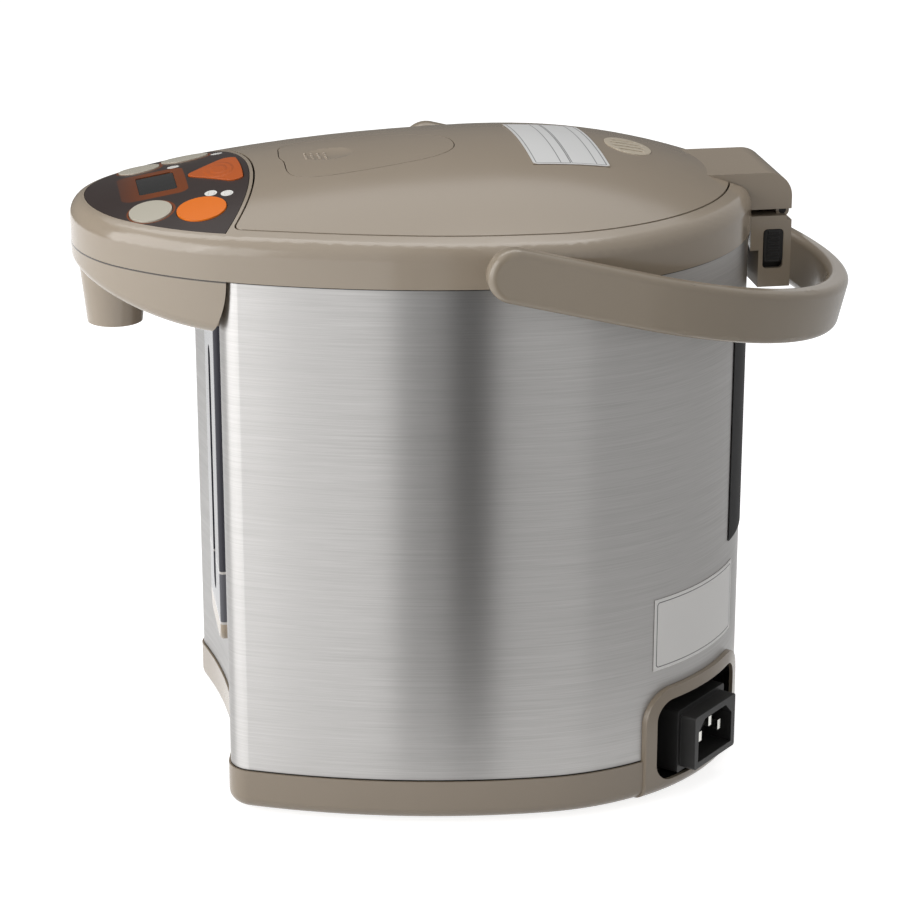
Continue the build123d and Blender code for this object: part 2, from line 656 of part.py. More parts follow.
def base_tray():
    """Moulded base with the turntable's recess below and an arch round the inlet."""
    tray = base_outside(0, BASE_TOP_Z)
    cavity = body_prism(WALL, FLOOR_Z, BASE_TOP_Z + BASE_HEIGHT)
    tray -= fillet(cavity.faces().sort_by(Axis.Z)[0].edges(), BASE_EDGE_RADIUS - WALL)
    recess = TURNTABLE_RADIUS + TURNTABLE_GAP
    tray += disc(recess + WALL, BASE_GAP, PLINTH_Z, y=TURNTABLE_Y)
    tray -= disc(recess, BASE_GAP - 1, RECESS_TOP_Z, y=TURNTABLE_Y)
    tray -= disc(HUB_RADIUS + RUNNING_CLEARANCE, BASE_GAP, BASE_TOP_Z, y=TURNTABLE_Y)
    far = 2 * BODY_HALF_WIDTH
    arch = socket_block(ARCH_HALF_WIDTH, -ARCH_TOP_Z, ARCH_TOP_Z, ARCH_CORNER, AXIS_Y, far)
    arch &= base_outside(ARCH_PROUD, ARCH_TOP_Z + 1)
    tray += arch - disc(ARCH_INNER_RADIUS, 0, ARCH_TOP_Z + 1)
    tray -= socket_block(
        ARCH_HALF_WIDTH - ARCH_FRAME, NICHE_FOOT_Z, ARCH_TOP_Z - ARCH_FRAME, ARCH_CORNER - ARCH_FRAME,
        NICHE_BACK, far,
    )
    for x, y in leg_places():
        tray -= disc(SCREW_RADIUS + FIT_CLEARANCE, BASE_GAP, BASE_TOP_Z, x, y)
    return tray


def leg_places():
    """Centres of the support frame's legs."""
    turns = [radians(360.0 * (i + 0.5) / LEGS) for i in range(LEGS)]
    return [(FRAME_RADIUS * cos(t), AXIS_Y + FRAME_RADIUS * sin(t)) for t in turns]


def turntable():
    """Disc the pot swivels on, with a bearing ring and a hub held by a retainer."""
    top = FOOT_HEIGHT + TURNTABLE_THICKNESS
    plate = disc(TURNTABLE_RADIUS, FOOT_HEIGHT, top, y=TURNTABLE_Y)
    plate += tube(BEARING_RADII[1], BEARING_RADII[0], top, RECESS_TOP_Z - BEARING_GAP, y=TURNTABLE_Y)
    plate += disc(HUB_RADIUS, top, PLINTH_Z + BEARING_GAP, y=TURNTABLE_Y)
    retainer_foot = PLINTH_Z + BEARING_GAP
    plate += disc(RETAINER_RADIUS, retainer_foot, retainer_foot + RETAINER_THICKNESS, y=TURNTABLE_Y)
    return plate


def turntable_feet():
    """Rubber ring the whole pot stands on."""
    return tube(FOOT_RADII[1], FOOT_RADII[0], 0, FOOT_HEIGHT, y=TURNTABLE_Y)


def base_screws():
    """Four screws from the turntable's recess up into the frame's legs."""
    screws = []
    for x, y in leg_places():
        head = disc(SCREW_HEAD_RADIUS, RECESS_TOP_Z - SCREW_HEAD_HEIGHT, RECESS_TOP_Z, x, y)
        screws.append(head + disc(SCREW_RADIUS, RECESS_TOP_Z, PLINTH_Z + BASE_HEIGHT, x, y))
    return screws


# ================================================================ collar, nose and front
def top_collar():
    """Collar with its shoulder, the deck inside it, the lid's recess and the roof of the nose."""
    solid = collar_prism(0, SHEET_TOP_Z, ABOVE_ALL_Z) & crown()
    solid = fillet(solid.faces().sort_by(Axis.Z)[-1].edges(), SHOULDER_RADIUS)
    hollow = collar_prism(WALL, SHEET_TOP_Z - 1, ABOVE_ALL_Z) & crown(PANEL_THICKNESS + NOSE_SKIN)
    solid -= hollow - lid_prism(-SEAM_GAP - RECESS_WALL, DECK_BOTTOM_Z, ABOVE_ALL_Z)
    solid += lid_prism(-SEAM_GAP - RECESS_WALL, DECK_BOTTOM_Z, DECK_TOP_Z)
    solid -= lid_prism(-SEAM_GAP, DECK_TOP_Z, ABOVE_ALL_Z)
    solid -= disc(MOUTH_RADIUS, DECK_BOTTOM_Z - 1, ABOVE_ALL_Z)
    solid -= panel_prism(-PANEL_GAP, SHEET_TOP_Z, ABOVE_ALL_Z) - crown(PANEL_THICKNESS)
    solid -= hinge_notch()
    solid -= keeper_slot()
    for name, x, y, across, along in OVAL_BUTTONS:
        solid -= button_hole(Ellipse(across + BUTTON_GAP, along + BUTTON_GAP), x, y)
        solid -= button_ears(across, x, y, BUTTON_TAB_GAP)
    solid -= button_hole(reboil_outline(BUTTON_GAP), 0, PANEL_START_Y)
    solid -= button_ears(reboil_reach(), 0, REBOIL_TAB_Y, BUTTON_TAB_GAP)
    solid -= button_hole(display_outline(-DISPLAY_CORNER), 0, DISPLAY_Y)
    for x, y in LAMP_PLACES:
        solid -= button_hole(lamp_outline(PANEL_GAP), x, y)
    for x, y in BOARD_POSTS:
        post = panel_post(Circle(BOSS_RADIUS), x, y, -BOARD_DEPTH + SEAT_GAP, 0)
        solid += post & crown(PANEL_THICKNESS + NOSE_SKIN / 2)
    for x, y in collar_screw_places():
        boss = disc(BOSS_RADIUS, CONTAINER_TOP_Z, DECK_TOP_Z - DECK_THICKNESS / 2, x, y)
        solid += boss
        solid -= disc(SCREW_RADIUS + FIT_CLEARANCE, CONTAINER_TOP_Z - 1, DECK_TOP_Z - 1, x, y)
    for side in (-1, 1):
        inner = side * (BODY_HALF_WIDTH + PIVOT_PAD_PROUD - PIVOT_PAD_THICKNESS)
        outer = side * (BODY_HALF_WIDTH + PIVOT_PAD_PROUD)
        start, end = sorted((inner, outer))
        solid += rod(PIVOT_FLANGE_RADIUS, start, end, HANDLE_PIVOT_Y, HANDLE_PIVOT_Z)
    reach = BODY_HALF_WIDTH + HANDLE_THICKNESS
    for start, end in ((-reach, SEAM_INSET - BODY_HALF_WIDTH), (BODY_HALF_WIDTH - SEAM_INSET, reach)):
        solid -= rod(PIVOT_PIN_RADIUS + FIT_CLEARANCE, start, end, HANDLE_PIVOT_Y, HANDLE_PIVOT_Z)
    return solid


def collar_screw_places():
    """Centres of the screws that hold the container's flange to the collar."""
    turns = [radians(45 + 90 * i) for i in range(4)]
    return [(COLLAR_SCREW_RADIUS * cos(t), AXIS_Y + COLLAR_SCREW_RADIUS * sin(t)) for t in turns]


def collar_screws():
    """Four screws up through the container's flange into the collar's bosses."""
    screws = []
    under = CONTAINER_TOP_Z - CONTAINER_WALL
    for x, y in collar_screw_places():
        head = disc(SCREW_HEAD_RADIUS, under - SCREW_HEAD_HEIGHT, under, x, y)
        screws.append(head + disc(SCREW_RADIUS, under, DECK_BOTTOM_Z, x, y))
    return screws


def hinge_notch():
    """Gap in the back of the collar for the hinge cover."""
    half = HINGE_HALF_WIDTH + SEAM_GAP
    start, end = BODY_BACK_Y - SEAM_INSET - WALL, BODY_BACK_Y + WALL
    return block(-half, half, start, end, COVER_FOOT_Z - SEAM_GAP, ABOVE_ALL_Z)


def keeper_slot():
    """Pocket for the latch bolt in the front wall of the lid's recess."""
    half = LATCH_HALF_WIDTH + PART_GAP
    front = LID_FRONT_Y - SEAM_GAP
    return block(-half, half, front - KEEPER_DEPTH, front + KEEPER_DEPTH, LATCH_Z - PART_GAP,
                 LATCH_Z + LATCH_HEIGHT + PART_GAP)


def nose_undercover():
    """Hollow beak that closes the nose from below and laps over the steel's front corners."""
    low = SHEET_TOP_Z - BEAK_DROP - WALL
    axis_z = SHEET_TOP_Z - BEAK_DROP + BEAK_CURVE_RADIUS
    back = AXIS_Y + FRONT_Y

    def shape(inset, top):
        drum = rod(BEAK_CURVE_RADIUS - inset, -BODY_HALF_WIDTH, BODY_HALF_WIDTH, FRONT_Y, axis_z)
        ahead = block(-BODY_HALF_WIDTH, BODY_HALF_WIDTH, 2 * NOSE_TIP_Y, back, low, top)
        return collar_prism(inset, low, top) & drum & ahead

    solid = shape(0, SHEET_TOP_Z)
    bottom = solid.faces().sort_by(Axis.Z)[0]
    solid = fillet([e for e in bottom.edges() if e.center().Y < back - 1], BEAK_EDGE_RADIUS)
    solid -= shape(WALL, SHEET_TOP_Z + 1) - body_prism(PART_GAP - WALL, low - 1, SHEET_TOP_Z + 2)
    reach = BODY_HALF_WIDTH
    for start, end in ((-reach, -BEAK_TONGUE_HALF_WIDTH), (BEAK_TONGUE_HALF_WIDTH, reach)):
        behind = block(start, end, BEAK_BACK_Y - BEAK_BACK_RADIUS, 0, low - 1, SHEET_TOP_Z + 1)
        solid -= behind - rod(BEAK_BACK_RADIUS, start, end, BEAK_BACK_Y - BEAK_BACK_RADIUS, SHEET_TOP_Z)
    solid -= body_prism(PART_GAP, low - 1, SHEET_TOP_Z + 1)
    solid -= disc(SPOUT_NECK_RADIUS + SEAT_GAP, low - 1, SHEET_TOP_Z, 0, SPOUT_Y)
    return solid - pipe_slot()


def spout():
    """Spout with a wide mouth, cut to the beak's curve, and a neck that enters the beak."""
    foot = SHEET_TOP_Z - SPOUT_DROP
    neck_top = SHEET_TOP_Z - SPOUT_NECK_TOP_DROP
    top_radius = SPOUT_MOUTH_RADIUS + SPOUT_TAPER * (neck_top - foot)
    cone = Pos(0, SPOUT_Y, (foot + neck_top) / 2) * Cone(SPOUT_MOUTH_RADIUS, top_radius, neck_top - foot)
    axis_z = SHEET_TOP_Z - BEAK_DROP + BEAK_CURVE_RADIUS
    cone -= rod(BEAK_CURVE_RADIUS + SEAT_GAP, -BODY_HALF_WIDTH, BODY_HALF_WIDTH, FRONT_Y, axis_z)
    solid = cone + disc(SPOUT_NECK_RADIUS, foot + SPOUT_MOUTH_RECESS, neck_top, 0, SPOUT_Y)
    solid -= disc(SPOUT_MOUTH_RADIUS - SPOUT_MOUTH_WALL, foot - 1, foot + SPOUT_MOUTH_RECESS, 0, SPOUT_Y)
    solid -= disc(SPOUT_BORE_RADIUS, foot, neck_top + 1, 0, SPOUT_Y)
    solid -= disc(PIPE_RADIUS + FIT_CLEARANCE, neck_top - PIPE_INSERT, neck_top + 1, 0, SPOUT_Y)
    return solid


def bent_tube(points, bend, outer, inner):
    """A pipe along straight runs in the plane X = 0 joined by round bends."""
    path = FilletPolyline(*[(0, y, z) for y, z in points], radius=bend)
    start = Plane(origin=path @ 0, z_dir=path % 0)
    ring = start * (Circle(outer) - Circle(inner))
    return sweep(ring, path)


def spout_pipe():
    """Pipe from the top of the gauge tube, forward into the nose and down into the spout."""
    run = SHEET_TOP_Z - PIPE_DROP
    end = SHEET_TOP_Z - SPOUT_NECK_TOP_DROP - PIPE_INSERT
    points = [(GAUGE_Y, GAUGE_TOP_Z - PIPE_OVERLAP), (GAUGE_Y, run), (SPOUT_Y, run), (SPOUT_Y, end)]
    return bent_tube(points, PIPE_BEND, PIPE_RADIUS, PIPE_RADIUS - PIPE_WALL)


def gauge_tube():
    """Upright glass tube that shows the water level behind the window."""
    bore = PIPE_RADIUS + FIT_CLEARANCE
    return tube(NIPPLE_RADIUS, bore, GAUGE_BOTTOM_Z, GAUGE_TOP_Z, y=GAUGE_Y)


def front_panel():
    """Tongue below the beak with the level window's slot."""
    top = SHEET_TOP_Z - BEAK_DROP - PART_GAP
    face = FRONT_Y - FRONT_PANEL_PROUD
    half = FRONT_PANEL_HALF_WIDTH
    slab = block(-half, half, face, GAUGE_Y, FRONT_PANEL_BOTTOM_Z, top)
    bottom = [e for e in slab.edges().filter_by(Axis.Y) if e.center().Z < FRONT_PANEL_BOTTOM_Z + 1]
    slab = fillet(bottom, FRONT_PANEL_CORNER)
    rim = [e for e in slab.faces().sort_by(Axis.Y)[0].edges() if e.center().Z < top - 1]
    slab = fillet(rim, FRONT_PANEL_EDGE)
    slab -= body_prism(SHEET_INSET - SEAT_GAP, 0, SHEET_TOP_Z)
    return slab - window_block(0, 0)


def window_block(gap, sink):
    """The level window's round-ended slot, or what fills it."""
    half = WINDOW_HALF_WIDTH - gap
    face = FRONT_Y - FRONT_PANEL_PROUD + sink
    height = WINDOW_TOP_Z - WINDOW_BOTTOM_Z - 2 * gap
    slot = Pos(0, 0, (WINDOW_TOP_Z + WINDOW_BOTTOM_Z) / 2) * Box(2 * half, 4 * BODY_HALF_WIDTH, height)
    slot = fillet(slot.edges().filter_by(Axis.Y), half - SEAT_GAP)
    return slot & block(-half, half, face - (1 if sink == 0 else 0), GAUGE_Y, 0, SHEET_TOP_Z)


def gauge_window():
    """Clear insert in the front panel."""
    solid = window_block(SEAT_GAP, FRONT_PANEL_EDGE / 2)
    return solid - body_prism(SHEET_INSET - SEAT_GAP, 0, SHEET_TOP_Z)


# ================================================================ control panel and what is under it
def button_hole(outline, x, y):
    """Tool that opens the panel and the nose's roof for a piece that passes through both."""
    depth = 2 * (PANEL_THICKNESS + NOSE_SKIN) + crown_at(0, y) - crown_at(abs(x) + OVAL_BUTTONS[0][3], y)
    return panel_post(outline, x, y, -depth, BUTTON_PROUD + 1)


def button_ears(across, x, y, gap):
    """Ears on both sides of a button, under the panel; with a gap, the room they move in."""
    half = across + BUTTON_TAB + gap
    bar = panel_post(Rectangle(2 * half, 2 * (BUTTON_TAB_HALF_WIDTH + gap)), x, y, -2 * BOARD_DEPTH, 0)
    if gap:
        return bar & crown(PANEL_THICKNESS)
    top = PANEL_THICKNESS + SEAT_GAP
    return (bar & crown(top)) - crown(top + BUTTON_TAB_THICKNESS)


def reboil_outline(grow):
    """Triangle with rounded corners and a bowed back edge, measured from the panel's back edge."""
    front = (REBOIL_FRONT_Y - PANEL_START_Y) * PANEL_STRETCH
    back = (REBOIL_BACK_Y - PANEL_START_Y) * PANEL_STRETCH
    half = REBOIL_HALF_WIDTH
    face = Face(Wire([
        Line((0, front), (half, back)),
        ThreePointArc((half, back), (0, back + REBOIL_BACK_BULGE), (-half, back)),
        Line((-half, back), (0, front)),
    ]))
    face = face.fillet_2d(REBOIL_CORNER, face.vertices())
    if grow == 0:
        return face
    return offset(face, amount=grow)


def reboil_reach():
    """Half width of the triangle where its ears are."""
    share = (REBOIL_TAB_Y - BUTTON_TAB_HALF_WIDTH - REBOIL_FRONT_Y) / (REBOIL_BACK_Y - REBOIL_FRONT_Y)
    return REBOIL_HALF_WIDTH * share


def display_outline(grow):
    """Outline of the display's glass."""
    width, height = DISPLAY_HALF_WIDTH + grow, DISPLAY_HALF_HEIGHT + grow
    return RectangleRounded(2 * width, 2 * height, DISPLAY_CORNER)


def lamp_outline(grow):
    """Outline of an indicator lamp."""
    return Ellipse(LAMP_LENGTH / 2 + grow, LAMP_WIDTH / 2 + grow)


def control_panel():
    """Dark plate let into the nose, open for its buttons, display and lamps."""
    plate = under_skin(panel_prism(0, SHEET_TOP_Z, ABOVE_ALL_Z), PANEL_THICKNESS - SEAT_GAP)
    for name, x, y, across, along in OVAL_BUTTONS:
        plate -= button_hole(Ellipse(across + BUTTON_GAP, along + BUTTON_GAP), x, y)
    plate -= button_hole(reboil_outline(BUTTON_GAP), 0, PANEL_START_Y)
    plate -= button_hole(display_outline(0), 0, DISPLAY_Y)
    for x, y in LAMP_PLACES:
        plate -= button_hole(lamp_outline(SEAT_GAP), x, y)
    return plate


def display_window():
    """Glass of the display, resting on the nose's roof."""
    bar = panel_post(display_outline(-SEAT_GAP), 0, DISPLAY_Y, -BOARD_DEPTH, 1)
    return (bar & crown(DISPLAY_SINK)) - crown(PANEL_THICKNESS)


def display_module():
    """Display under its glass, standing on the board."""
    outline = display_outline(-DISPLAY_MODULE_MARGIN)
    return panel_post(outline, 0, DISPLAY_Y, -BOARD_DEPTH, -DISPLAY_MODULE_DEPTH)


def button_cap(outline, stem_x, stem_y, x, y):
    """A button that stands just above the panel, with a stem down to its switch."""
    bar = panel_post(outline, x, y, -2 * BOARD_DEPTH, 2)
    cap = (bar & crown(-BUTTON_PROUD)) - crown(BUTTON_SKIRT)
    stem = panel_post(Circle(BUTTON_STEM_RADIUS), stem_x, stem_y, -BUTTON_STEM_END, 0)
    return cap + (stem & crown(BUTTON_SKIRT / 2))


def oval_button(x, y, across, along):
    """One of the four oval buttons."""
    return button_cap(Ellipse(across, along), x, y, x, y) + button_ears(across, x, y, 0)


def reboil_button():
    """The triangular button at the lid's front edge."""
    cap = button_cap(reboil_outline(0), 0, REBOIL_TAB_Y, 0, PANEL_START_Y)
    return cap + button_ears(reboil_reach(), 0, REBOIL_TAB_Y, 0)


def control_board():
    """Circuit board parallel to the panel, with a push switch under every button."""
    low, high = -BOARD_DEPTH - BOARD_THICKNESS, -BOARD_DEPTH
    slab = panel_post(Rectangle(3 * BODY_HALF_WIDTH, 3 * BODY_HALF_WIDTH), 0, NOSE_TIP_Y, low, high)
    board = slab & panel_prism(BOARD_INSET, SHEET_TOP_Z - 1, ABOVE_ALL_Z)
    places = [(x, y) for name, x, y, across, along in OVAL_BUTTONS] + [(0, REBOIL_TAB_Y)]
    height = BOARD_DEPTH - BUTTON_STEM_END - BUTTON_TRAVEL - SWITCH_CLEARANCE
    for x, y in places:
        board += panel_post(Rectangle(SWITCH_SIZE, SWITCH_SIZE), x, y, high, high + height)
    return board


def indicator_lamps():
    """Four small light pipes from the board up to the panel's surface."""
    lamps = []
    for x, y in LAMP_PLACES:
        lamps.append(panel_post(lamp_outline(0), x, y, -BOARD_DEPTH, 1) & crown())
    return lamps


# ================================================================ lid
def lid_screw_places():
    """Centres of the screws that hold the lid's underside."""
    half = LID_SCREW_SPACING / 2
    return [(x, AXIS_Y + y) for x in (-half, half) for y in (-half, half)]


def lever_prism(grow, z0, z1):
    """The opening lever's outline."""
    points = LEVER_OUTLINE + [(-x, y) for x, y in reversed(LEVER_OUTLINE[1:-1])]
    return prism(Face(Wire(Spline(*spread(points, grow), periodic=True))), z0, z1)


def lever_axis_z():
    """Height of the lever's pin."""
    return crown_height(LEVER_PIVOT_Y) - LEVER_PIVOT_DEPTH


def finger(gap):
    """Sloped finger of the lever; with a gap, the opening it works in."""
    toe_z = LATCH_Z + LATCH_HEIGHT - LATCH_ENGAGE
    drop = toe_z - LATCH_Z + 1 if gap else 0
    back = FINGER_Y + gap
    front = FINGER_Y - FINGER_TOE - (LATCH_SLOT_LENGTH if gap else 0)
    low, knee = toe_z - drop, toe_z + FINGER_SLOPE_HEIGHT
    top = crown_height(FINGER_Y) - LEVER_THICKNESS / 2
    profile = Polyline(
        (0, front, low), (0, back - FINGER_SLOPE * drop, low),
        (0, back + FINGER_SLOPE * FINGER_SLOPE_HEIGHT, knee),
        (0, back + FINGER_SLOPE * FINGER_SLOPE_HEIGHT, top), (0, front, top), close=True,
    )
    half = FINGER_HALF_WIDTH + gap
    return extrude(Pos(-half, 0, 0) * Face(Wire(profile.edges())), amount=2 * half, dir=(1, 0, 0))


def vent_outline(grow):
    """Outline of the steam vent."""
    return Pos(0, VENT_Y) * Ellipse(VENT_LENGTH / 2 + grow, VENT_WIDTH / 2 + grow)


def lid_cover():
    """Domed lid with its skirt, the lever's well, the vent's opening and the hinge's cover."""
    cover = under_skin(lid_prism(0, SHEET_TOP_Z, ABOVE_ALL_Z), LID_LIP)
    cover += under_skin(lid_prism(LID_LIP_WIDTH, SHEET_TOP_Z, ABOVE_ALL_Z), LID_SKIN)
    inside = lid_prism(SKIRT_INSET + SKIRT_THICKNESS, LID_FLOOR_Z - 1, ABOVE_ALL_Z)
    skirt = lid_prism(SKIRT_INSET, LID_FLOOR_Z, ABOVE_ALL_Z) - inside
    cover += skirt & crown(LID_LIP)
    cover += hinge_cover() - (inside & crown(LID_SKIN))
    floor = CROWN_Z - PAN_DEPTH
    cover += lever_prism(LEVER_GAP + PAN_WALL, floor - PAN_WALL, ABOVE_ALL_Z) & crown(LID_LIP)
    cover -= lever_prism(LEVER_GAP, floor, ABOVE_ALL_Z)
    for x, y in lid_screw_places():
        cover += disc(LID_BOSS_RADIUS, UNDERSIDE_TOP_Z, ABOVE_ALL_Z, x, y) & crown(LID_LIP)
        bore_top = UNDERSIDE_TOP_Z + 3 * LID_BOSS_RADIUS
        cover -= disc(SCREW_RADIUS + FIT_CLEARANCE, UNDERSIDE_TOP_Z - 1, bore_top, x, y)
    for start, end in lever_posts():
        post = block(start, end, LEVER_PIVOT_Y - LEVER_LUG_RADIUS, LEVER_PIVOT_Y + LEVER_LUG_RADIUS,
                     floor - PAN_WALL, lever_axis_z() + LEVER_POST_TOP)
        cover += post
    cover -= rod(LEVER_PIN_RADIUS + FIT_CLEARANCE, *lever_pin_span(), LEVER_PIVOT_Y, lever_axis_z())
    half = FINGER_HALF_WIDTH + LATCH_FINGER_GAP
    start = FINGER_Y - FINGER_TOE - LATCH_FINGER_GAP
    end = FINGER_Y + FINGER_SLOPE * FINGER_SLOPE_HEIGHT + FINGER_SWING_GAP
    cover -= block(-half, half, start, end, floor - 2 * PAN_WALL, floor + 1)
    half = LATCH_HALF_WIDTH + SLIDE_CLEARANCE
    cover -= block(-half, half, LID_FRONT_Y, LID_FRONT_Y + 3 * SKIRT_INSET, LATCH_Z - SLIDE_CLEARANCE,
                   LATCH_Z + LATCH_HEIGHT + SLIDE_CLEARANCE)
    return cover - prism(vent_outline(SEAT_GAP), SHEET_TOP_Z, ABOVE_ALL_Z)


def lever_posts():
    """Spans along X of the posts that carry the lever's pin."""
    inner, outer = LEVER_LUGS[0] - LEVER_POST_GAP, LEVER_LUGS[1] + LEVER_POST_GAP
    return [(-inner, inner), (outer, outer + LEVER_POST_WIDTH), (-outer - LEVER_POST_WIDTH, -outer)]


def lever_pin_span():
    """Ends of the lever's pin along X."""
    reach = LEVER_LUGS[1] + LEVER_POST_GAP + LEVER_POST_WIDTH
    return -reach, reach


def lever_pin():
    """Pin of the opening lever."""
    return rod(LEVER_PIN_RADIUS, *lever_pin_span(), LEVER_PIVOT_Y, lever_axis_z())


def open_lever():
    """Teardrop lever, flush with the lid, with a dimple for the thumb."""
    lever = under_skin(lever_prism(0, SHEET_TOP_Z, ABOVE_ALL_Z), LEVER_THICKNESS)
    ball_radius = (DIMPLE_RADIUS**2 + DIMPLE_DEPTH**2) / (2 * DIMPLE_DEPTH)
    surface = crown_height(DIMPLE_Y)
    lever -= Pos(0, DIMPLE_Y, surface - DIMPLE_DEPTH + ball_radius) * Sphere(ball_radius)
    for start, end in (LEVER_LUGS, (-LEVER_LUGS[1], -LEVER_LUGS[0])):
        lug = rod(LEVER_LUG_RADIUS, start, end, LEVER_PIVOT_Y, lever_axis_z())
        web_top = crown_height(LEVER_PIVOT_Y) - LEVER_THICKNESS / 2
        lug += block(start, end, LEVER_PIVOT_Y - LEVER_LUG_RADIUS, LEVER_PIVOT_Y + LEVER_LUG_RADIUS,
                     lever_axis_z(), web_top)
        lever += lug
    lever -= rod(LEVER_PIN_RADIUS + RUNNING_CLEARANCE, *lever_pin_span(), LEVER_PIVOT_Y, lever_axis_z())
    return lever + finger(0)


def latch_bar():
    """Bolt that the lever's finger draws back from the collar."""
    half = LATCH_HALF_WIDTH
    tip = LID_FRONT_Y - SEAM_GAP + LATCH_TIP_GAP
    bar = block(-half, half, tip, tip + LATCH_LENGTH, LATCH_Z, LATCH_Z + LATCH_HEIGHT)
    return bar - finger(LATCH_FINGER_GAP)


def lid_underside():
    """Plate under the lid with the latch's rails and the ring that plugs the mouth."""
    top = UNDERSIDE_TOP_Z
    plate = lid_prism(SKIRT_INSET + SKIRT_THICKNESS + SEAT_GAP, LID_FLOOR_Z, top)
    plate += tube(PLUG_RADIUS, PLUG_RADIUS - PLUG_WALL, LID_FLOOR_Z - PLUG_DEPTH, LID_FLOOR_Z)
    half = LATCH_HALF_WIDTH + SLIDE_CLEARANCE
    start = LID_FRONT_Y + 3 * SKIRT_INSET
    end = LID_FRONT_Y + LATCH_LENGTH
    for inner, outer in ((half, half + RAIL_WIDTH), (-half - RAIL_WIDTH, -half)):
        plate += block(inner, outer, start, end, top, top + RAIL_HEIGHT)
    for inner, outer in ((half - 2 * RAIL_WIDTH, half), (-half, 2 * RAIL_WIDTH - half)):
        plate += block(inner, outer, start, end, top, LATCH_Z - SLIDE_CLEARANCE)
    for x, y in lid_screw_places():
        plate -= disc(SCREW_RADIUS + FIT_CLEARANCE, LID_FLOOR_Z - 1, top + 1, x, y)
    return plate - disc(DUCT_RADIUS + FIT_CLEARANCE, LID_FLOOR_Z - 1, top + 1, 0, VENT_Y)


def lid_screws():
    """Four screws up through the underside into the cover's bosses."""
    screws = []
    for x, y in lid_screw_places():
        head = disc(SCREW_HEAD_RADIUS, LID_FLOOR_Z - SCREW_HEAD_HEIGHT, LID_FLOOR_Z, x, y)
        screws.append(head + disc(SCREW_RADIUS, LID_FLOOR_Z, UNDERSIDE_TOP_Z + 2 * LID_BOSS_RADIUS, x, y))
    return screws


def inner_lid():
    """Steel disc that closes the container, with a hole for steam under the duct."""
    top = LID_FLOOR_Z - PLUG_DEPTH
    plate = disc(INNER_LID_RADIUS, top - INNER_LID_THICKNESS, top)
    return plate - disc(STEAM_HOLE_RADIUS, top - 1, top + 1, 0, VENT_Y)


def lid_gasket():
    """Rubber ring gripped on the inner lid's edge."""
    foot = CONTAINER_TOP_Z + SEAL_LIP_HEIGHT + GASKET_GAP
    ring = tube(GASKET_RADIUS, PLUG_RADIUS + SEAT_GAP, foot, foot + GASKET_HEIGHT)
    top = LID_FLOOR_Z - PLUG_DEPTH
    return ring - disc(INNER_LID_RADIUS, top - INNER_LID_THICKNESS, top)


def steam_vent_cover():
    """Oval louvre in the lid."""
    blank = prism(vent_outline(0), SHEET_TOP_Z, ABOVE_ALL_Z)
    cover = (blank & crown(-VENT_PROUD)) - crown(VENT_THICKNESS - VENT_PROUD)
    for i in range(VENT_SLOTS):
        across = (i - (VENT_SLOTS - 1) / 2) * VENT_SLOT_PITCH
        half = VENT_WIDTH / 2 * sqrt(1 - (2 * across / VENT_LENGTH) ** 2) - 3 * VENT_SLOT_WIDTH / 2
        slot = Pos(across, VENT_Y) * Rot(0, 0, 90) * SlotOverall(2 * half, VENT_SLOT_WIDTH)
        cover -= prism(slot, SHEET_TOP_Z, ABOVE_ALL_Z)
    return cover


def steam_duct():
    """Pipe from the inner lid up to a flange under the vent."""
    top = VENT_THICKNESS - VENT_PROUD + SEAT_GAP
    flange = prism(vent_outline(DUCT_FLANGE_WIDTH), SHEET_TOP_Z, ABOVE_ALL_Z)
    duct = (flange & crown(top)) - crown(top + DUCT_FLANGE_THICKNESS)
    pipe = disc(DUCT_RADIUS, LID_FLOOR_Z - PLUG_DEPTH, ABOVE_ALL_Z, 0, VENT_Y)
    duct += pipe & crown(top + DUCT_FLANGE_THICKNESS / 2)
    return duct - disc(DUCT_RADIUS - DUCT_WALL, SHEET_TOP_Z - WALL * 2, ABOVE_ALL_Z, 0, VENT_Y)


def lid_label():
    """Blank label on the lid."""
    blank = block(-LID_LABEL_HALF_WIDTH, LID_LABEL_HALF_WIDTH, *LID_LABEL_Y, SHEET_TOP_Z, ABOVE_ALL_Z)
    return (blank & crown(-LABEL_GAP - LABEL_THICKNESS)) - crown(-LABEL_GAP)


# ================================================================ hinge
def hinge_cover():
    """Block at the back of the lid that carries the lid's knuckle."""
    half, top = HINGE_HALF_WIDTH, SHEET_TOP_Z + HINGE_COVER_TOP
    shape = block(-half, half, HINGE_START_Y, HINGE_BACK_Y, COVER_FOOT_Z, top)
    back_edges = shape.edges().filter_by(Axis.X).sort_by(Axis.Y)[-2:]
    shape = fillet(back_edges.sort_by(Axis.Z)[-1:], HINGE_COVER_ROUND)
    hollow_start = BODY_BACK_Y - SEAM_INSET + HINGE_WALL
    hollow = block(HINGE_WALL - half, half - HINGE_WALL, hollow_start, HINGE_BACK_Y - HINGE_WALL,
                   COVER_FOOT_Z - 1, top - HINGE_WALL)
    back_edges = hollow.edges().filter_by(Axis.X).sort_by(Axis.Y)[-2:]
    shape -= fillet(back_edges.sort_by(Axis.Z)[-1:], HINGE_COVER_ROUND - HINGE_WALL)
    for start, end in bracket_knuckles(KNUCKLE_GAP):
        shape -= rod(KNUCKLE_RADIUS + KNUCKLE_CLEARANCE, start, end, HINGE_Y, HINGE_Z)
    shape += rod(KNUCKLE_RADIUS, -KNUCKLE_LENGTH / 2, KNUCKLE_LENGTH / 2, HINGE_Y, HINGE_Z)
    bore = HINGE_PIN_RADIUS + RUNNING_CLEARANCE
    return shape - rod(bore, -KNUCKLE_LENGTH, KNUCKLE_LENGTH, HINGE_Y, HINGE_Z)


def bracket_knuckles(gap):
    """Spans along X of the bracket's two knuckles, widened by a gap."""
    inner, outer = KNUCKLE_LENGTH / 2 + KNUCKLE_GAP - gap, KNUCKLE_END + gap
    return [(inner, outer), (-outer, -inner)]


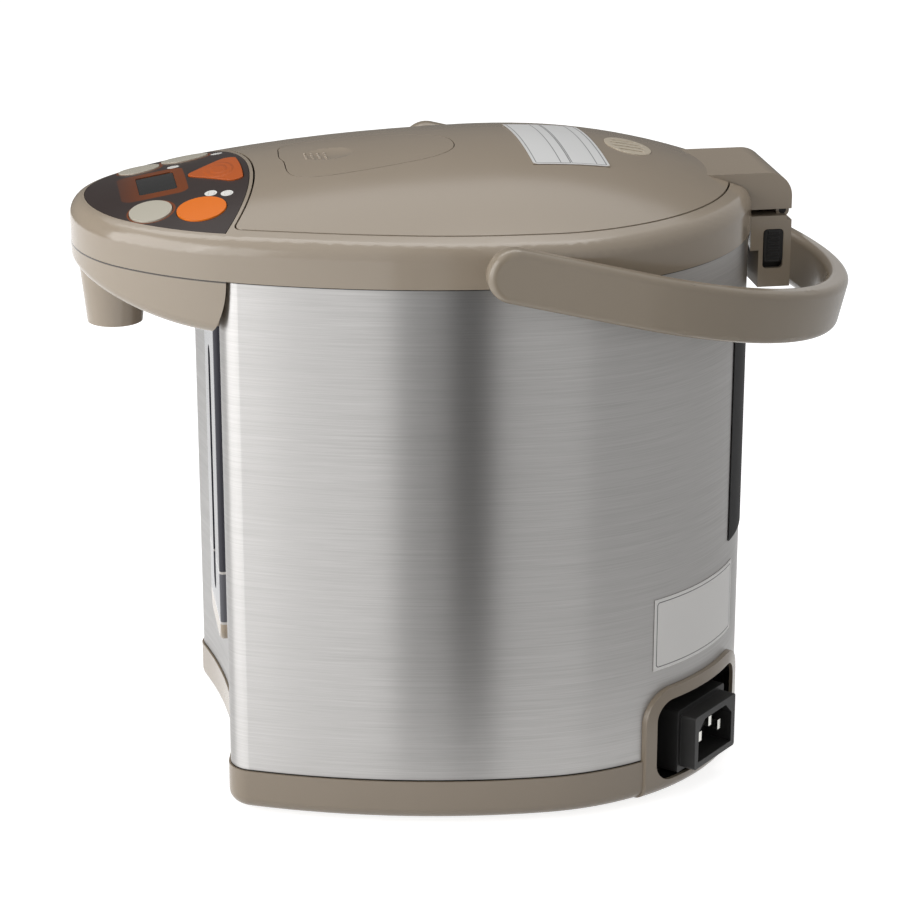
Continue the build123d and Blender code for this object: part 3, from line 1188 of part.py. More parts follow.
def hinge_bracket():
    """Hollow tongue on the back of the body that carries the hinge and the release slide."""
    half = HINGE_HALF_WIDTH + SLIDE_CLEARANCE + KNUCKLE_GAP
    foot = SHEET_TOP_Z - BRACKET_DROP
    solid = block(-half, half, BRACKET_FRONT_Y, HINGE_BACK_Y, foot, BRACKET_TOP_Z)
    root = block(-half, half, AXIS_Y, BRACKET_FRONT_Y, SHEET_TOP_Z - BRACKET_ROOT_DROP, BRACKET_TOP_Z)
    solid += root - disc(BODY_HALF_WIDTH + SEAT_GAP, foot, BRACKET_TOP_Z + 1)
    step_y = HINGE_BACK_Y - BRACKET_STEP[0]
    step_z = BRACKET_TOP_Z - BRACKET_STEP[1]
    solid -= block(-half, half, step_y, HINGE_BACK_Y, step_z, BRACKET_TOP_Z)
    reach = KNUCKLE_LENGTH / 2 + KNUCKLE_GAP
    solid -= rod(KNUCKLE_RADIUS + KNUCKLE_CLEARANCE, -reach, reach, HINGE_Y, HINGE_Z)
    for start, end in bracket_knuckles(0):
        solid += rod(KNUCKLE_RADIUS, start, end, HINGE_Y, HINGE_Z)
    solid -= rod(HINGE_PIN_RADIUS + FIT_CLEARANCE, -KNUCKLE_END, KNUCKLE_END, HINGE_Y, HINGE_Z)
    cavity_front = BRACKET_FRONT_Y + HINGE_WALL / 2
    slider_top = SHEET_TOP_Z - SLIDER_TOP_DROP
    cavity_top = slider_top + 2 * SLIDER_FLANGE
    solid -= block(HINGE_WALL - half, half - HINGE_WALL, cavity_front, HINGE_BACK_Y - HINGE_WALL,
                   foot - 1, cavity_top)
    gap = SLIDE_CLEARANCE
    window_foot = slider_top - SLIDER_LENGTH - SLIDER_TRAVEL - gap
    window = block(0, half + 1, SLIDER_Y - SLIDER_WIDTH / 2 - gap, SLIDER_Y + SLIDER_WIDTH / 2 + gap,
                   window_foot, slider_top + gap)
    return solid - fillet(window.edges().filter_by(Axis.X), SLIDER_CORNER)


def hinge_pin():
    """Pin through the hinge's knuckles."""
    return rod(HINGE_PIN_RADIUS, -KNUCKLE_END, KNUCKLE_END, HINGE_Y, HINGE_Z)


def release_slider():
    """Ribbed slide in the bracket's right cheek."""
    cheek = HINGE_HALF_WIDTH + SLIDE_CLEARANCE + KNUCKLE_GAP
    inner = cheek - HINGE_WALL - 2 * SLIDE_CLEARANCE
    top = SHEET_TOP_Z - SLIDER_TOP_DROP
    foot = top - SLIDER_LENGTH
    half = SLIDER_WIDTH / 2
    outer = cheek + SLIDER_PROUD / 2
    pad = block(inner, outer, SLIDER_Y - half, SLIDER_Y + half, foot, top)
    pad = fillet(pad.edges().filter_by(Axis.X), SLIDER_CORNER)
    pad += block(inner - SLIDER_FLANGE_THICKNESS, inner, SLIDER_Y - half - SLIDER_FLANGE / 2,
                 SLIDER_Y + half + SLIDER_FLANGE, foot - SLIDER_FLANGE, top + SLIDER_FLANGE)
    pitch = SLIDER_LENGTH / SLIDER_RIBS
    for i in range(SLIDER_RIBS):
        middle = foot + (i + 0.5) * pitch
        pad += block(outer, cheek + SLIDER_PROUD,
                     SLIDER_Y - half + SLIDER_CORNER, SLIDER_Y + half - SLIDER_CORNER,
                     middle - SLIDER_RIB_HEIGHT / 2, middle + SLIDER_RIB_HEIGHT / 2)
    return pad


# ================================================================ carrying handle
def handle():
    """Bow handle, folded back and down."""
    inner = BODY_HALF_WIDTH + HANDLE_GAP
    outer = inner + HANDLE_THICKNESS
    half = HANDLE_HEIGHT / 2
    bow = block(-outer, outer, -half, HANDLE_ARM, -half, half) + disc(outer, -half, half, y=HANDLE_ARM)
    bow -= block(-inner, inner, -2 * half, HANDLE_ARM, -half, half) + disc(inner, -half, half, y=HANDLE_ARM)
    ends = rod(half, -outer, outer, 0, 0) + block(-outer, outer, 0, HANDLE_ARM + 2 * outer, -half, half)
    bow = fillet((bow & ends).edges(), HANDLE_ROUND)
    depth = PIVOT_PIN_DEPTH + HANDLE_GAP
    for start, end in ((-BODY_HALF_WIDTH - depth, 0), (0, BODY_HALF_WIDTH + depth)):
        bow -= rod(PIVOT_PIN_RADIUS + RUNNING_CLEARANCE, start, end, 0, 0)
    return Pos(0, HANDLE_PIVOT_Y, HANDLE_PIVOT_Z) * Rot(-HANDLE_TILT, 0, 0) * bow


def handle_pivots():
    """The two pins the handle turns on, each with a spacer outside and a head inside the collar."""
    pad = BODY_HALF_WIDTH + PIVOT_PAD_PROUD
    inside = pad - PIVOT_PAD_THICKNESS
    pins = []
    for side in (1, -1):
        spans = [
            (PIVOT_HEAD_RADIUS, inside - PIVOT_HEAD_THICKNESS, inside),
            (PIVOT_PIN_RADIUS, inside, BODY_HALF_WIDTH + HANDLE_GAP + PIVOT_PIN_DEPTH - PIVOT_SIDE_GAP),
            (PIVOT_FLANGE_RADIUS, pad, BODY_HALF_WIDTH + HANDLE_GAP - PIVOT_SIDE_GAP),
        ]
        pin = None
        for radius, start, end in spans:
            piece = rod(radius, min(side * start, side * end), max(side * start, side * end),
                        HANDLE_PIVOT_Y, HANDLE_PIVOT_Z)
            pin = piece if pin is None else pin + piece
        pins.append(pin)
    return pins


# ================================================================ container and heater
def inner_container():
    """Steel cup with a flange and an outlet at the front of its floor."""
    cup = disc(CONTAINER_RADIUS, CONTAINER_BOTTOM_Z, CONTAINER_TOP_Z)
    cup = fillet(cup.faces().sort_by(Axis.Z)[0].edges(), CONTAINER_ROUND)
    inside = disc(CONTAINER_RADIUS - CONTAINER_WALL, CONTAINER_BOTTOM_Z + CONTAINER_WALL, SHEET_TOP_Z)
    inside = fillet(inside.faces().sort_by(Axis.Z)[0].edges(), CONTAINER_ROUND - CONTAINER_WALL)
    cup += disc(CONTAINER_FLANGE_RADIUS, CONTAINER_TOP_Z - CONTAINER_WALL, CONTAINER_TOP_Z)
    cup -= inside
    cup += disc(NIPPLE_RADIUS, CONTAINER_BOTTOM_Z - PORT_LENGTH, CONTAINER_BOTTOM_Z, 0, PUMP_Y)
    cup -= disc(NIPPLE_RADIUS - NIPPLE_WALL, 0, CONTAINER_BOTTOM_Z + 2, 0, PUMP_Y)
    for x, y in collar_screw_places():
        cup -= disc(SCREW_RADIUS + FIT_CLEARANCE, CONTAINER_TOP_Z - 2, SHEET_TOP_Z, x, y)
    return cup


def container_seal():
    """Ring between the container's flange and the deck, with a lip for the lid's gasket."""
    inner, outer = CONTAINER_SEAL_RADII
    ring = tube(outer, inner, CONTAINER_TOP_Z, DECK_BOTTOM_Z)
    return ring + tube(inner + 1, SEAL_LIP_RADIUS, CONTAINER_TOP_Z, CONTAINER_TOP_Z + SEAL_LIP_HEIGHT)


def insulation_sleeve():
    """Insulating sleeve round the container."""
    inner = CONTAINER_RADIUS + SLEEVE_GAP
    foot = CONTAINER_BOTTOM_Z + CONTAINER_ROUND
    return tube(inner + SLEEVE_THICKNESS, inner, foot, CONTAINER_TOP_Z - SLEEVE_TOP_GAP)


def support_frame():
    """Broken ring under the container on four legs."""
    inner, outer = FRAME_RADIUS - FRAME_RING_WIDTH / 2, FRAME_RADIUS + FRAME_RING_WIDTH / 2
    frame = tube(outer, inner, FRAME_FOOT_Z, FRAME_TOP_Z)
    for x, y in leg_places():
        frame += disc(LEG_RADIUS, PLINTH_Z, FRAME_FOOT_Z, x, y)
        frame -= disc(SCREW_RADIUS + FIT_CLEARANCE, 0, PLINTH_Z + BASE_HEIGHT, x, y)
    return frame


def heater_plate():
    """Heating plate under the container."""
    return disc(HEATER_RADIUS, CONTAINER_BOTTOM_Z - HEATER_THICKNESS, CONTAINER_BOTTOM_Z)


def thermistor():
    """Temperature sensor under the middle of the heater."""
    top = CONTAINER_BOTTOM_Z - HEATER_THICKNESS
    return disc(THERMISTOR_RADIUS, top - THERMISTOR_HEIGHT, top)


def thermal_fuse():
    """Cut-out beside the sensor."""
    top = CONTAINER_BOTTOM_Z - HEATER_THICKNESS
    return block(*FUSE_X, AXIS_Y - FUSE_HALF_WIDTH, AXIS_Y + FUSE_HALF_WIDTH, top - THERMISTOR_HEIGHT, top)


# ================================================================ pump
PUMP_Z = PLINTH_Z + MOTOR_HEIGHT
CHAMBER_Z = PUMP_Z + MAGNET_HEIGHT + SEAT_GAP + PUMP_FLOOR


def pump_housing():
    """Pump with an inlet on top, an outlet to the front and a pit for the drive magnet below."""
    top = PUMP_Z + PUMP_HEIGHT
    body = disc(PUMP_RADIUS, PUMP_Z, top, 0, PUMP_Y)
    body += disc(NIPPLE_RADIUS, top, top + PUMP_STUB, 0, PUMP_Y)
    outlet_z = CHAMBER_Z + PUMP_OUTLET_RISE
    stub = Pos(0, PUMP_Y, outlet_z) * Rot(90, 0, 0)
    reach = PUMP_RADIUS + PUMP_STUB
    body += stub * Pos(0, 0, reach / 2) * Cylinder(NIPPLE_RADIUS, reach)
    body -= disc(CHAMBER_RADIUS, CHAMBER_Z, CHAMBER_Z + CHAMBER_HEIGHT, 0, PUMP_Y)
    bore = NIPPLE_RADIUS - NIPPLE_WALL
    body -= disc(bore, CHAMBER_Z + CHAMBER_HEIGHT - 1, top + PUMP_STUB + 1, 0, PUMP_Y)
    body -= stub * Pos(0, 0, CHAMBER_RADIUS - 2 + PUMP_RADIUS / 2) * Cylinder(bore - 1, PUMP_RADIUS)
    pit = MAGNET_RADIUS + KNUCKLE_GAP
    body -= disc(pit, PUMP_Z - 1, PUMP_Z + MAGNET_HEIGHT + SEAT_GAP, 0, PUMP_Y)
    pin_top = CHAMBER_Z + IMPELLER_RISE + IMPELLER_HEIGHT
    return body + disc(IMPELLER_PIN_RADIUS, CHAMBER_Z - PUMP_FLOOR / 2, pin_top, 0, PUMP_Y)


def impeller():
    """Bladed wheel on a fixed pin."""
    foot = CHAMBER_Z + IMPELLER_RISE
    top = foot + IMPELLER_HEIGHT
    wheel = disc(IMPELLER_RADIUS, foot, foot + IMPELLER_DISC, 0, PUMP_Y)
    wheel += disc(IMPELLER_HUB_RADIUS, foot, top, 0, PUMP_Y)
    half = IMPELLER_BLADE_THICKNESS / 2
    blade = block(0, IMPELLER_RADIUS - 1, -half, half, foot, top)
    for i in range(IMPELLER_BLADES):
        wheel += Pos(0, PUMP_Y, 0) * Rot(0, 0, 360 * i / IMPELLER_BLADES) * blade
    return wheel - disc(IMPELLER_PIN_RADIUS + RUNNING_CLEARANCE, foot - 1, top + 1, 0, PUMP_Y)


def pump_motor():
    """Motor can with its stator and a bearing in the floor."""
    can = disc(MOTOR_RADIUS, PLINTH_Z, PUMP_Z, 0, PUMP_Y)
    can -= disc(MOTOR_RADIUS - MOTOR_WALL, PLINTH_Z + MOTOR_WALL, PUMP_Z + 1, 0, PUMP_Y)
    foot = PLINTH_Z + ROTOR_RISE
    can += tube(MOTOR_RADIUS - MOTOR_WALL / 2, STATOR_RADIUS, foot, foot + STATOR_HEIGHT, 0, PUMP_Y)
    bearing_foot = PLINTH_Z + MOTOR_WALL - SHAFT_INSERT + SEAT_GAP
    return can - disc(SHAFT_RADIUS + RUNNING_CLEARANCE, bearing_foot, PUMP_Z, 0, PUMP_Y)


def motor_rotor():
    """Rotor, shaft and the magnet disc that drives the impeller through the pump's floor."""
    foot = PLINTH_Z + ROTOR_RISE
    magnet_top = PUMP_Z + MAGNET_HEIGHT - KNUCKLE_GAP
    shaft_foot = PLINTH_Z + MOTOR_WALL - SHAFT_INSERT + 2 * SEAT_GAP
    rotor = disc(ROTOR_RADIUS, foot, foot + STATOR_HEIGHT, 0, PUMP_Y)
    rotor += disc(SHAFT_RADIUS, shaft_foot, magnet_top, 0, PUMP_Y)
    return rotor + disc(MAGNET_RADIUS, magnet_top - MAGNET_HEIGHT, magnet_top, 0, PUMP_Y)


def inlet_hose():
    """Hose from the container down to the pump."""
    foot = PUMP_Z + PUMP_HEIGHT + SEAT_GAP
    top = CONTAINER_BOTTOM_Z - SEAT_GAP
    bore = NIPPLE_RADIUS + FIT_CLEARANCE
    return tube(bore + HOSE_WALL, bore, foot, top, 0, PUMP_Y)


def outlet_hose():
    """Hose from the pump forward and up to the gauge tube."""
    z = CHAMBER_Z + PUMP_OUTLET_RISE
    start = PUMP_Y - PUMP_RADIUS - SEAT_GAP - SEAT_GAP
    points = [(start, z), (GAUGE_Y, z), (GAUGE_Y, GAUGE_BOTTOM_Z + HOSE_OVERLAP)]
    bore = NIPPLE_RADIUS + FIT_CLEARANCE
    return bent_tube(points, HOSE_BEND, bore + HOSE_WALL, bore)


# ================================================================ electronics in the base
def power_board():
    """Circuit board on the base's plinth, on four posts."""
    top = PLINTH_Z + POWER_BOARD_RISE
    board = block(*POWER_BOARD_X, *POWER_BOARD_Y, top, top + BOARD_THICKNESS)
    for x in POWER_BOARD_X:
        for y in POWER_BOARD_Y:
            px = x - BOSS_RADIUS if x > 0 else x + BOSS_RADIUS
            py = y - BOSS_RADIUS if y == POWER_BOARD_Y[1] else y + BOSS_RADIUS
            board += disc(BOSS_RADIUS, PLINTH_Z, top, px, py)
    return board


def board_components():
    """Transformer, capacitor and relay on the power board."""
    top = PLINTH_Z + POWER_BOARD_RISE + BOARD_THICKNESS
    return [
        block(*TRANSFORMER_X, *TRANSFORMER_Y, top, top + TRANSFORMER_HEIGHT),
        disc(CAPACITOR_RADIUS, top, top + CAPACITOR_HEIGHT, *CAPACITOR_PLACE),
        block(*RELAY_X, *RELAY_Y, top, top + RELAY_HEIGHT),
    ]


# ================================================================ mains inlet
def socket_housing():
    """Niche behind the arch."""
    half = ARCH_HALF_WIDTH - ARCH_FRAME
    top = ARCH_TOP_Z - ARCH_FRAME
    corner = ARCH_CORNER - ARCH_FRAME
    wall = NICHE_WALL
    outside = socket_block(half + wall, NICHE_FOOT_Z - wall, top + wall, corner + wall,
                           NICHE_BACK - wall, BODY_HALF_WIDTH)
    outside &= disc(ARCH_INNER_RADIUS - SEAT_GAP, 0, SHEET_TOP_Z)
    return outside - socket_block(half, NICHE_FOOT_Z, top, corner, NICHE_BACK, 2 * BODY_HALF_WIDTH)


def inlet_block():
    """Mains inlet with a stepped flange and a bevelled recess."""
    foot, top = INLET_FOOT_Z, INLET_FOOT_Z + INLET_HEIGHT
    step = INLET_STEP
    flange = (INLET_HALF_WIDTH + step, foot - step, top + step, step / 2)
    solid = socket_block(*flange, NICHE_BACK, INLET_FLANGE_FACE)
    solid += socket_block(INLET_HALF_WIDTH, foot, top, step / 2, NICHE_BACK, INLET_FACE)
    half, high = INLET_CAVITY[0] / 2, INLET_CAVITY[1] / 2
    bevel = INLET_CHAMFER
    outline = make_face(Polyline(
        (-half, -high), (half, -high), (half, high - bevel), (half - bevel, high),
        (bevel - half, high), (-half, high - bevel), close=True,
    ))
    start = INLET_FACE - INLET_CAVITY_DEPTH
    place = SOCKET_PLANE * Pos(0, foot + INLET_HEIGHT / 2, start)
    return solid - extrude(place * outline, amount=2 * INLET_CAVITY_DEPTH, dir=SOCKET_PLANE.z_dir)


def inlet_pins():
    """Three contact blades standing in the inlet's recess."""
    middle = INLET_FOOT_Z + INLET_HEIGHT / 2
    start = INLET_FACE - INLET_CAVITY_DEPTH
    blades = []
    for u, rise in ((-PIN_HALF_SPACING, 0), (PIN_HALF_SPACING, 0), (0, EARTH_PIN_RISE)):
        outline = SOCKET_PLANE * Pos(u, middle + rise, start) * Rectangle(PIN_THICKNESS, PIN_WIDTH)
        blades.append(extrude(outline, amount=PIN_LENGTH, dir=SOCKET_PLANE.z_dir))
    return blades


# ================================================================ labels
def curved_label(angles, span, thickness):
    """A thin label on the round back of the steel, between two angles from +X towards +Y."""
    surface = BODY_HALF_WIDTH - SHEET_INSET + LABEL_GAP
    ring = tube(surface + thickness, surface, *span)
    far = 2 * BODY_HALF_WIDTH
    first, last = radians(angles[0]), radians(angles[1])
    middle = (first + last) / 2
    corners = [(0, AXIS_Y)] + [(far * cos(t), AXIS_Y + far * sin(t)) for t in (first, middle, last)]
    wedge = make_face(Polyline(*corners, close=True))
    return ring & prism(wedge, span[0] - 1, span[1] + 1)


def rear_plate():
    """Dark plate on the back of the body."""
    angles = (90 - REAR_PLATE_HALF_ANGLE, 90 + REAR_PLATE_HALF_ANGLE)
    return curved_label(angles, REAR_PLATE_Z, PLATE_THICKNESS)


def side_label():
    """Pale label above the inlet."""
    return curved_label(SIDE_LABEL_ANGLES, SIDE_LABEL_Z, LABEL_THICKNESS)


# ================================================================ every piece, one file each
PIECES = {
    "outer_shell": outer_shell,
    "base_tray": base_tray,
    "turntable": turntable,
    "turntable_feet": turntable_feet,
    "base_screws": base_screws,
    "top_collar": top_collar,
    "collar_screws": collar_screws,
    "nose_undercover": nose_undercover,
    "spout": spout,
    "spout_pipe": spout_pipe,
    "gauge_tube": gauge_tube,
    "gauge_window": gauge_window,
    "front_panel": front_panel,
    "control_panel": control_panel,
    "display_window": display_window,
    "display_module": display_module,
    "control_board": control_board,
    "indicator_lamps": indicator_lamps,
    "reboil_button": reboil_button,
    "lid_cover": lid_cover,
    "lid_underside": lid_underside,
    "lid_screws": lid_screws,
    "inner_lid": inner_lid,
    "lid_gasket": lid_gasket,
    "steam_vent_cover": steam_vent_cover,
    "steam_duct": steam_duct,
    "lid_label": lid_label,
    "lever_pin": lever_pin,
    "open_lever": open_lever,
    "latch_bar": latch_bar,
    "hinge_bracket": hinge_bracket,
    "hinge_pin": hinge_pin,
    "release_slider": release_slider,
    "handle": handle,
    "handle_pivots": handle_pivots,
    "inner_container": inner_container,
    "container_seal": container_seal,
    "insulation_sleeve": insulation_sleeve,
    "support_frame": support_frame,
    "heater_plate": heater_plate,
    "thermistor": thermistor,
    "thermal_fuse": thermal_fuse,
    "pump_housing": pump_housing,
    "impeller": impeller,
    "pump_motor": pump_motor,
    "motor_rotor": motor_rotor,
    "inlet_hose": inlet_hose,
    "outlet_hose": outlet_hose,
    "power_board": power_board,
    "board_components": board_components,
    "socket_housing": socket_housing,
    "inlet_block": inlet_block,
    "inlet_pins": inlet_pins,
    "rear_plate": rear_plate,
    "side_label": side_label,
}

os.makedirs("parts", exist_ok=True)
for name, make in PIECES.items():
    piece = make()
    if isinstance(piece, list):
        piece = Compound(piece)
    export_step(piece, f"parts/{name}.step")
    print(name, round(piece.volume, 1), piece.is_valid, len(piece.solids()))
for name, x, y, across, along in OVAL_BUTTONS:
    piece = oval_button(x, y, across, along)
    export_step(piece, f"parts/{name}.step")
    print(name, round(piece.volume, 1), piece.is_valid, len(piece.solids()))
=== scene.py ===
# %% [markdown]
# # An electric thermo pot
# The pot keeps water hot in a steel container, inside a body wrapped in brushed steel.  A domed lid is
# hinged at the back, a bow handle is folded behind it, and a nose at the front carries the control panel
# above and the spout below.  The construction is already there as a fixed frame, one object for each
# piece, in metres.  What is left for Blender is the finish: materials, rounded edges, prints and light.

# %% Load the frame
import json
from math import atan2, cos, radians, sin

import bmesh
import bpy
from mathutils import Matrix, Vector
from mathutils.bvhtree import BVHTree


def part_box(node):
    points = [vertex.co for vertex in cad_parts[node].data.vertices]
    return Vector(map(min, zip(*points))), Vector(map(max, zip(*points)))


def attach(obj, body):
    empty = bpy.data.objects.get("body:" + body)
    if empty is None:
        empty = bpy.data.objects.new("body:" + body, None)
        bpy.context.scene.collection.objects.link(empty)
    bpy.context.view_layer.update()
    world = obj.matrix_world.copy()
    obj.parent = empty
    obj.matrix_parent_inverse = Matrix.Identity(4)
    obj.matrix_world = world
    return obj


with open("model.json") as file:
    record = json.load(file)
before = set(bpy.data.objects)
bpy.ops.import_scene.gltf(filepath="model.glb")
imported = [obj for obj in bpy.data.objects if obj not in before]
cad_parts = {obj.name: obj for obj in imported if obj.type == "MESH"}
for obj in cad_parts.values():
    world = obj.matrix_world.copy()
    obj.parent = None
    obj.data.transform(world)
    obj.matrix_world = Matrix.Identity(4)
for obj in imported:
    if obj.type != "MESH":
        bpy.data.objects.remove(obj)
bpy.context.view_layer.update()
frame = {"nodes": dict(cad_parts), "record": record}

MM = 0.001
print("the frame has", len(frame["nodes"]), "pieces")

# %% [markdown]
# ## The camera
# The pot is seen from its right side, a little from the front and from well above the table.  A long lens
# keeps the sides of the body nearly parallel.  A camera can be turned by three angles or pointed along a
# direction.  It is pointed at one spot here, because that is easier to read.

# %% Place the camera
CAMERA_PLACE = Vector((1.0863, -0.1848, 0.5019))
CAMERA_AIM = Vector((0.0, -0.005, 0.118))
LENS = 118.5
camera = bpy.data.objects.new("camera", bpy.data.cameras.new("camera"))
camera.data.lens = LENS
camera.location = CAMERA_PLACE
camera.rotation_mode = "QUATERNION"
camera.rotation_quaternion = (CAMERA_AIM - CAMERA_PLACE).to_track_quat("-Z", "Y")
bpy.context.scene.collection.objects.link(camera)
bpy.context.scene.camera = camera
print("camera is", round((CAMERA_AIM - CAMERA_PLACE).length, 3), "m from its aim")

# %% [markdown]
# ## Small tools
# Every finish here is procedural, so it is a tree of nodes.  Wiring each node by hand hides what a tree
# does.  Short helpers keep it readable: they add a node, write a sum as a Math node, carry a value from
# one range to another, mix two colours by a mask, and read where a point lies on the pot.

# %% Colours
def srgb(red, green, blue):
    """A colour written as it shows on a screen, 0 to 255, as the linear colour that shaders take."""
    def linear(value):
        value /= 255.0
        return value / 12.92 if value <= 0.04045 else ((value + 0.055) / 1.055) ** 2.4
    return (linear(red), linear(green), linear(blue), 1.0)


def grey(level):
    """A linear grey: nothing is black and one is white."""
    return (level, level, level, 1.0)


def lighter(colour, share):
    """A colour moved towards white, or towards black where the share is negative."""
    aim = 1.0 if share > 0 else 0.0
    return tuple(c + (aim - c) * abs(share) for c in colour[:3]) + (1.0,)


TAUPE, BLACK, WHITE = srgb(166, 152, 134), srgb(24, 23, 22), grey(1.0)
print("taupe is", [round(c, 3) for c in TAUPE[:3]], "as a linear colour")


# %% Nodes
def put(tree, value, socket):
    """Links a socket, or sets a plain value."""
    if isinstance(value, bpy.types.NodeSocket):
        tree.links.new(value, socket)
    else:
        socket.default_value = value


def add(tree, kind, **settings):
    """A node with its settings."""
    node = tree.nodes.new(kind)
    for name, value in settings.items():
        setattr(node, name, value)
    return node


def calc(tree, operation, *values):
    """A Math node's output."""
    node = add(tree, "ShaderNodeMath", operation=operation)
    for socket, value in zip(node.inputs, values):
        put(tree, value, socket)
    return node.outputs[0]


def ramp(tree, value, low, high, start=0.0, end=1.0):
    """A value carried from low..high to start..end, and held at both ends."""
    node = add(tree, "ShaderNodeMapRange", clamp=True)
    for socket, given in zip(node.inputs, (value, low, high, start, end)):
        put(tree, given, socket)
    return node.outputs[0]


def mix(tree, mask, first, second):
    """The first colour, or the second where the mask is one."""
    node = add(tree, "ShaderNodeMix", data_type="RGBA")
    factor, first_colour, second_colour = node.inputs[0], node.inputs[6], node.inputs[7]
    put(tree, mask, factor)
    put(tree, first, first_colour)
    put(tree, second, second_colour)
    return node.outputs[2]


def object_vector(tree):
    """A point's place on the pot, as one vector socket."""
    return add(tree, "ShaderNodeTexCoord").outputs["Object"]


def object_place(tree):
    """A point's place on the pot, as the three sockets X, Y and Z."""
    split = add(tree, "ShaderNodeSeparateXYZ")
    put(tree, object_vector(tree), split.inputs[0])
    return split.outputs


def noise(tree, place, scale, detail=2.0, roughness=0.5):
    """A noise texture's value."""
    node = add(tree, "ShaderNodeTexNoise")
    settings = {"Vector": place, "Scale": scale, "Detail": detail, "Roughness": roughness}
    for label, value in settings.items():
        put(tree, value, node.inputs[label])
    return node.outputs[0]


print("node tools ready")

# %% [markdown]
# ### Effects and new pieces
# An effect that several finishes share is a node group: it is wired once and placed in each material with
# values of its own.  New pieces are shaped as a bmesh, and one helper turns a finished bmesh into an
# object, so that the cells below only have to say what the shape is.

# %% Groups and pieces
def effect(name, inputs, outputs):
    """An empty node group with named inputs, as (name, default) pairs, and named outputs."""
    group = bpy.data.node_groups.new(name, "ShaderNodeTree")
    for label, value in inputs:
        socket = group.interface.new_socket(label, in_out="INPUT", socket_type="NodeSocketFloat")
        socket.default_value = value
    for label in outputs:
        group.interface.new_socket(label, in_out="OUTPUT", socket_type="NodeSocketFloat")
    return group, group.nodes.new("NodeGroupInput").outputs, group.nodes.new("NodeGroupOutput").inputs


def use(tree, group, **values):
    """An effect placed in a material; underscores stand for spaces in the names of its inputs."""
    node = add(tree, "ShaderNodeGroup", node_tree=group)
    for label, value in values.items():
        put(tree, value, node.inputs[label.replace("_", " ").capitalize()])
    return node.outputs


def piece_from(shape, name, material):
    """A finished bmesh as an object of one material, at the origin."""
    mesh = bpy.data.meshes.new(name)
    shape.to_mesh(mesh)
    shape.free()
    mesh.materials.append(material)
    piece = bpy.data.objects.new(name, mesh)
    bpy.context.scene.collection.objects.link(piece)
    return piece


print("effects and pieces can be made")

# %% [markdown]
# ## Light
# Polished plastic and brushed steel show the studio more than themselves.  A large soft box stands in
# front of the pot, to the left of the camera, and a narrow weak one between the two.  A faint one stands
# to the camera's right, and a long one hangs overhead and draws the highlight on the collar's rim.
# Azimuth is counted in degrees from +X, the side that faces the camera, towards the pot's back.

# %% Place the soft boxes
bpy.context.scene.view_settings.view_transform = "Standard"
POT_MIDDLE = Vector((0.0, 0.0, 0.12))


def direction(azimuth, elevation):
    """A unit vector, from two angles in degrees."""
    flat = cos(radians(elevation))
    return Vector((cos(radians(azimuth)) * flat, sin(radians(azimuth)) * flat, sin(radians(elevation))))


def soft_box(name, azimuth, elevation, distance, width, height, power):
    """An area light on a sphere round the pot, facing the pot's middle."""
    light = bpy.data.lights.new(name, "AREA")
    light.shape = "RECTANGLE"
    light.size, light.size_y = width, height
    light.energy = power
    lamp = bpy.data.objects.new(name, light)
    way = direction(azimuth, elevation)
    lamp.location = POT_MIDDLE + distance * way
    lamp.rotation_mode = "QUATERNION"
    lamp.rotation_quaternion = (-way).to_track_quat("-Z", "Y")
    bpy.context.scene.collection.objects.link(lamp)
    return lamp


lamps = [
    soft_box("front_box", azimuth=-80, elevation=18, distance=1.5, width=1.3, height=1.3, power=13.0),
    soft_box("edge_box", azimuth=-50, elevation=12, distance=1.5, width=0.5, height=1.2, power=3.0),
    soft_box("back_box", azimuth=30, elevation=24, distance=1.5, width=0.8, height=1.0, power=0.7),
    soft_box("roof_box", azimuth=172, elevation=76, distance=1.3, width=2.0, height=0.65, power=7.5),
]
print("soft boxes:", ", ".join(lamp.name for lamp in lamps))

# %% [markdown]
# ### The room
# The world could be one grey, but then the background and every reflection would be that grey too.  So it
# is white to the camera, to mirrored rays and through clear pieces, and a plain grey for everything else.
# That fills the shadows without flattening them.

# %% Light the room
WORLD_LEVEL = 0.32


def open_rays(tree):
    """One for a ray from the camera, a mirrored ray, or a ray that went through a clear piece."""
    rays = add(tree, "ShaderNodeLightPath").outputs
    mirrored = calc(tree, "MAXIMUM", rays["Is Glossy Ray"], rays["Is Transmission Ray"])
    return calc(tree, "MAXIMUM", rays["Is Camera Ray"], mirrored)


world = bpy.data.worlds.new("studio")
bpy.context.scene.world = world
world.use_nodes = True
room = world.node_tree
room.nodes.clear()
background = add(room, "ShaderNodeBackground")
background.inputs["Color"].default_value = WHITE
put(room, ramp(room, open_rays(room), 0.0, 1.0, WORLD_LEVEL, 1.0), background.inputs["Strength"])
put(room, background.outputs[0], add(room, "ShaderNodeOutputWorld").inputs["Surface"])
print("world level", WORLD_LEVEL)

# %% [markdown]
# ### Flags
# A photographer stands cards beside steel, because without them it mirrors a white room and looks flat.
# The same cards are here, as bent sheets that only mirrored rays see, so they shade nothing else.  The
# narrow dark card draws the upright band on the steel.  The near card leads into it, and the pale and the
# grey card calm the steel behind it.  The rear card is tall and far away, and keeps the lid and the panel
# from turning white at a glancing angle.

# %% Stand the flags
FLAG_STEP = 4.0
NEAR_RADIUS, NEAR_HEIGHT = 0.17, 0.6


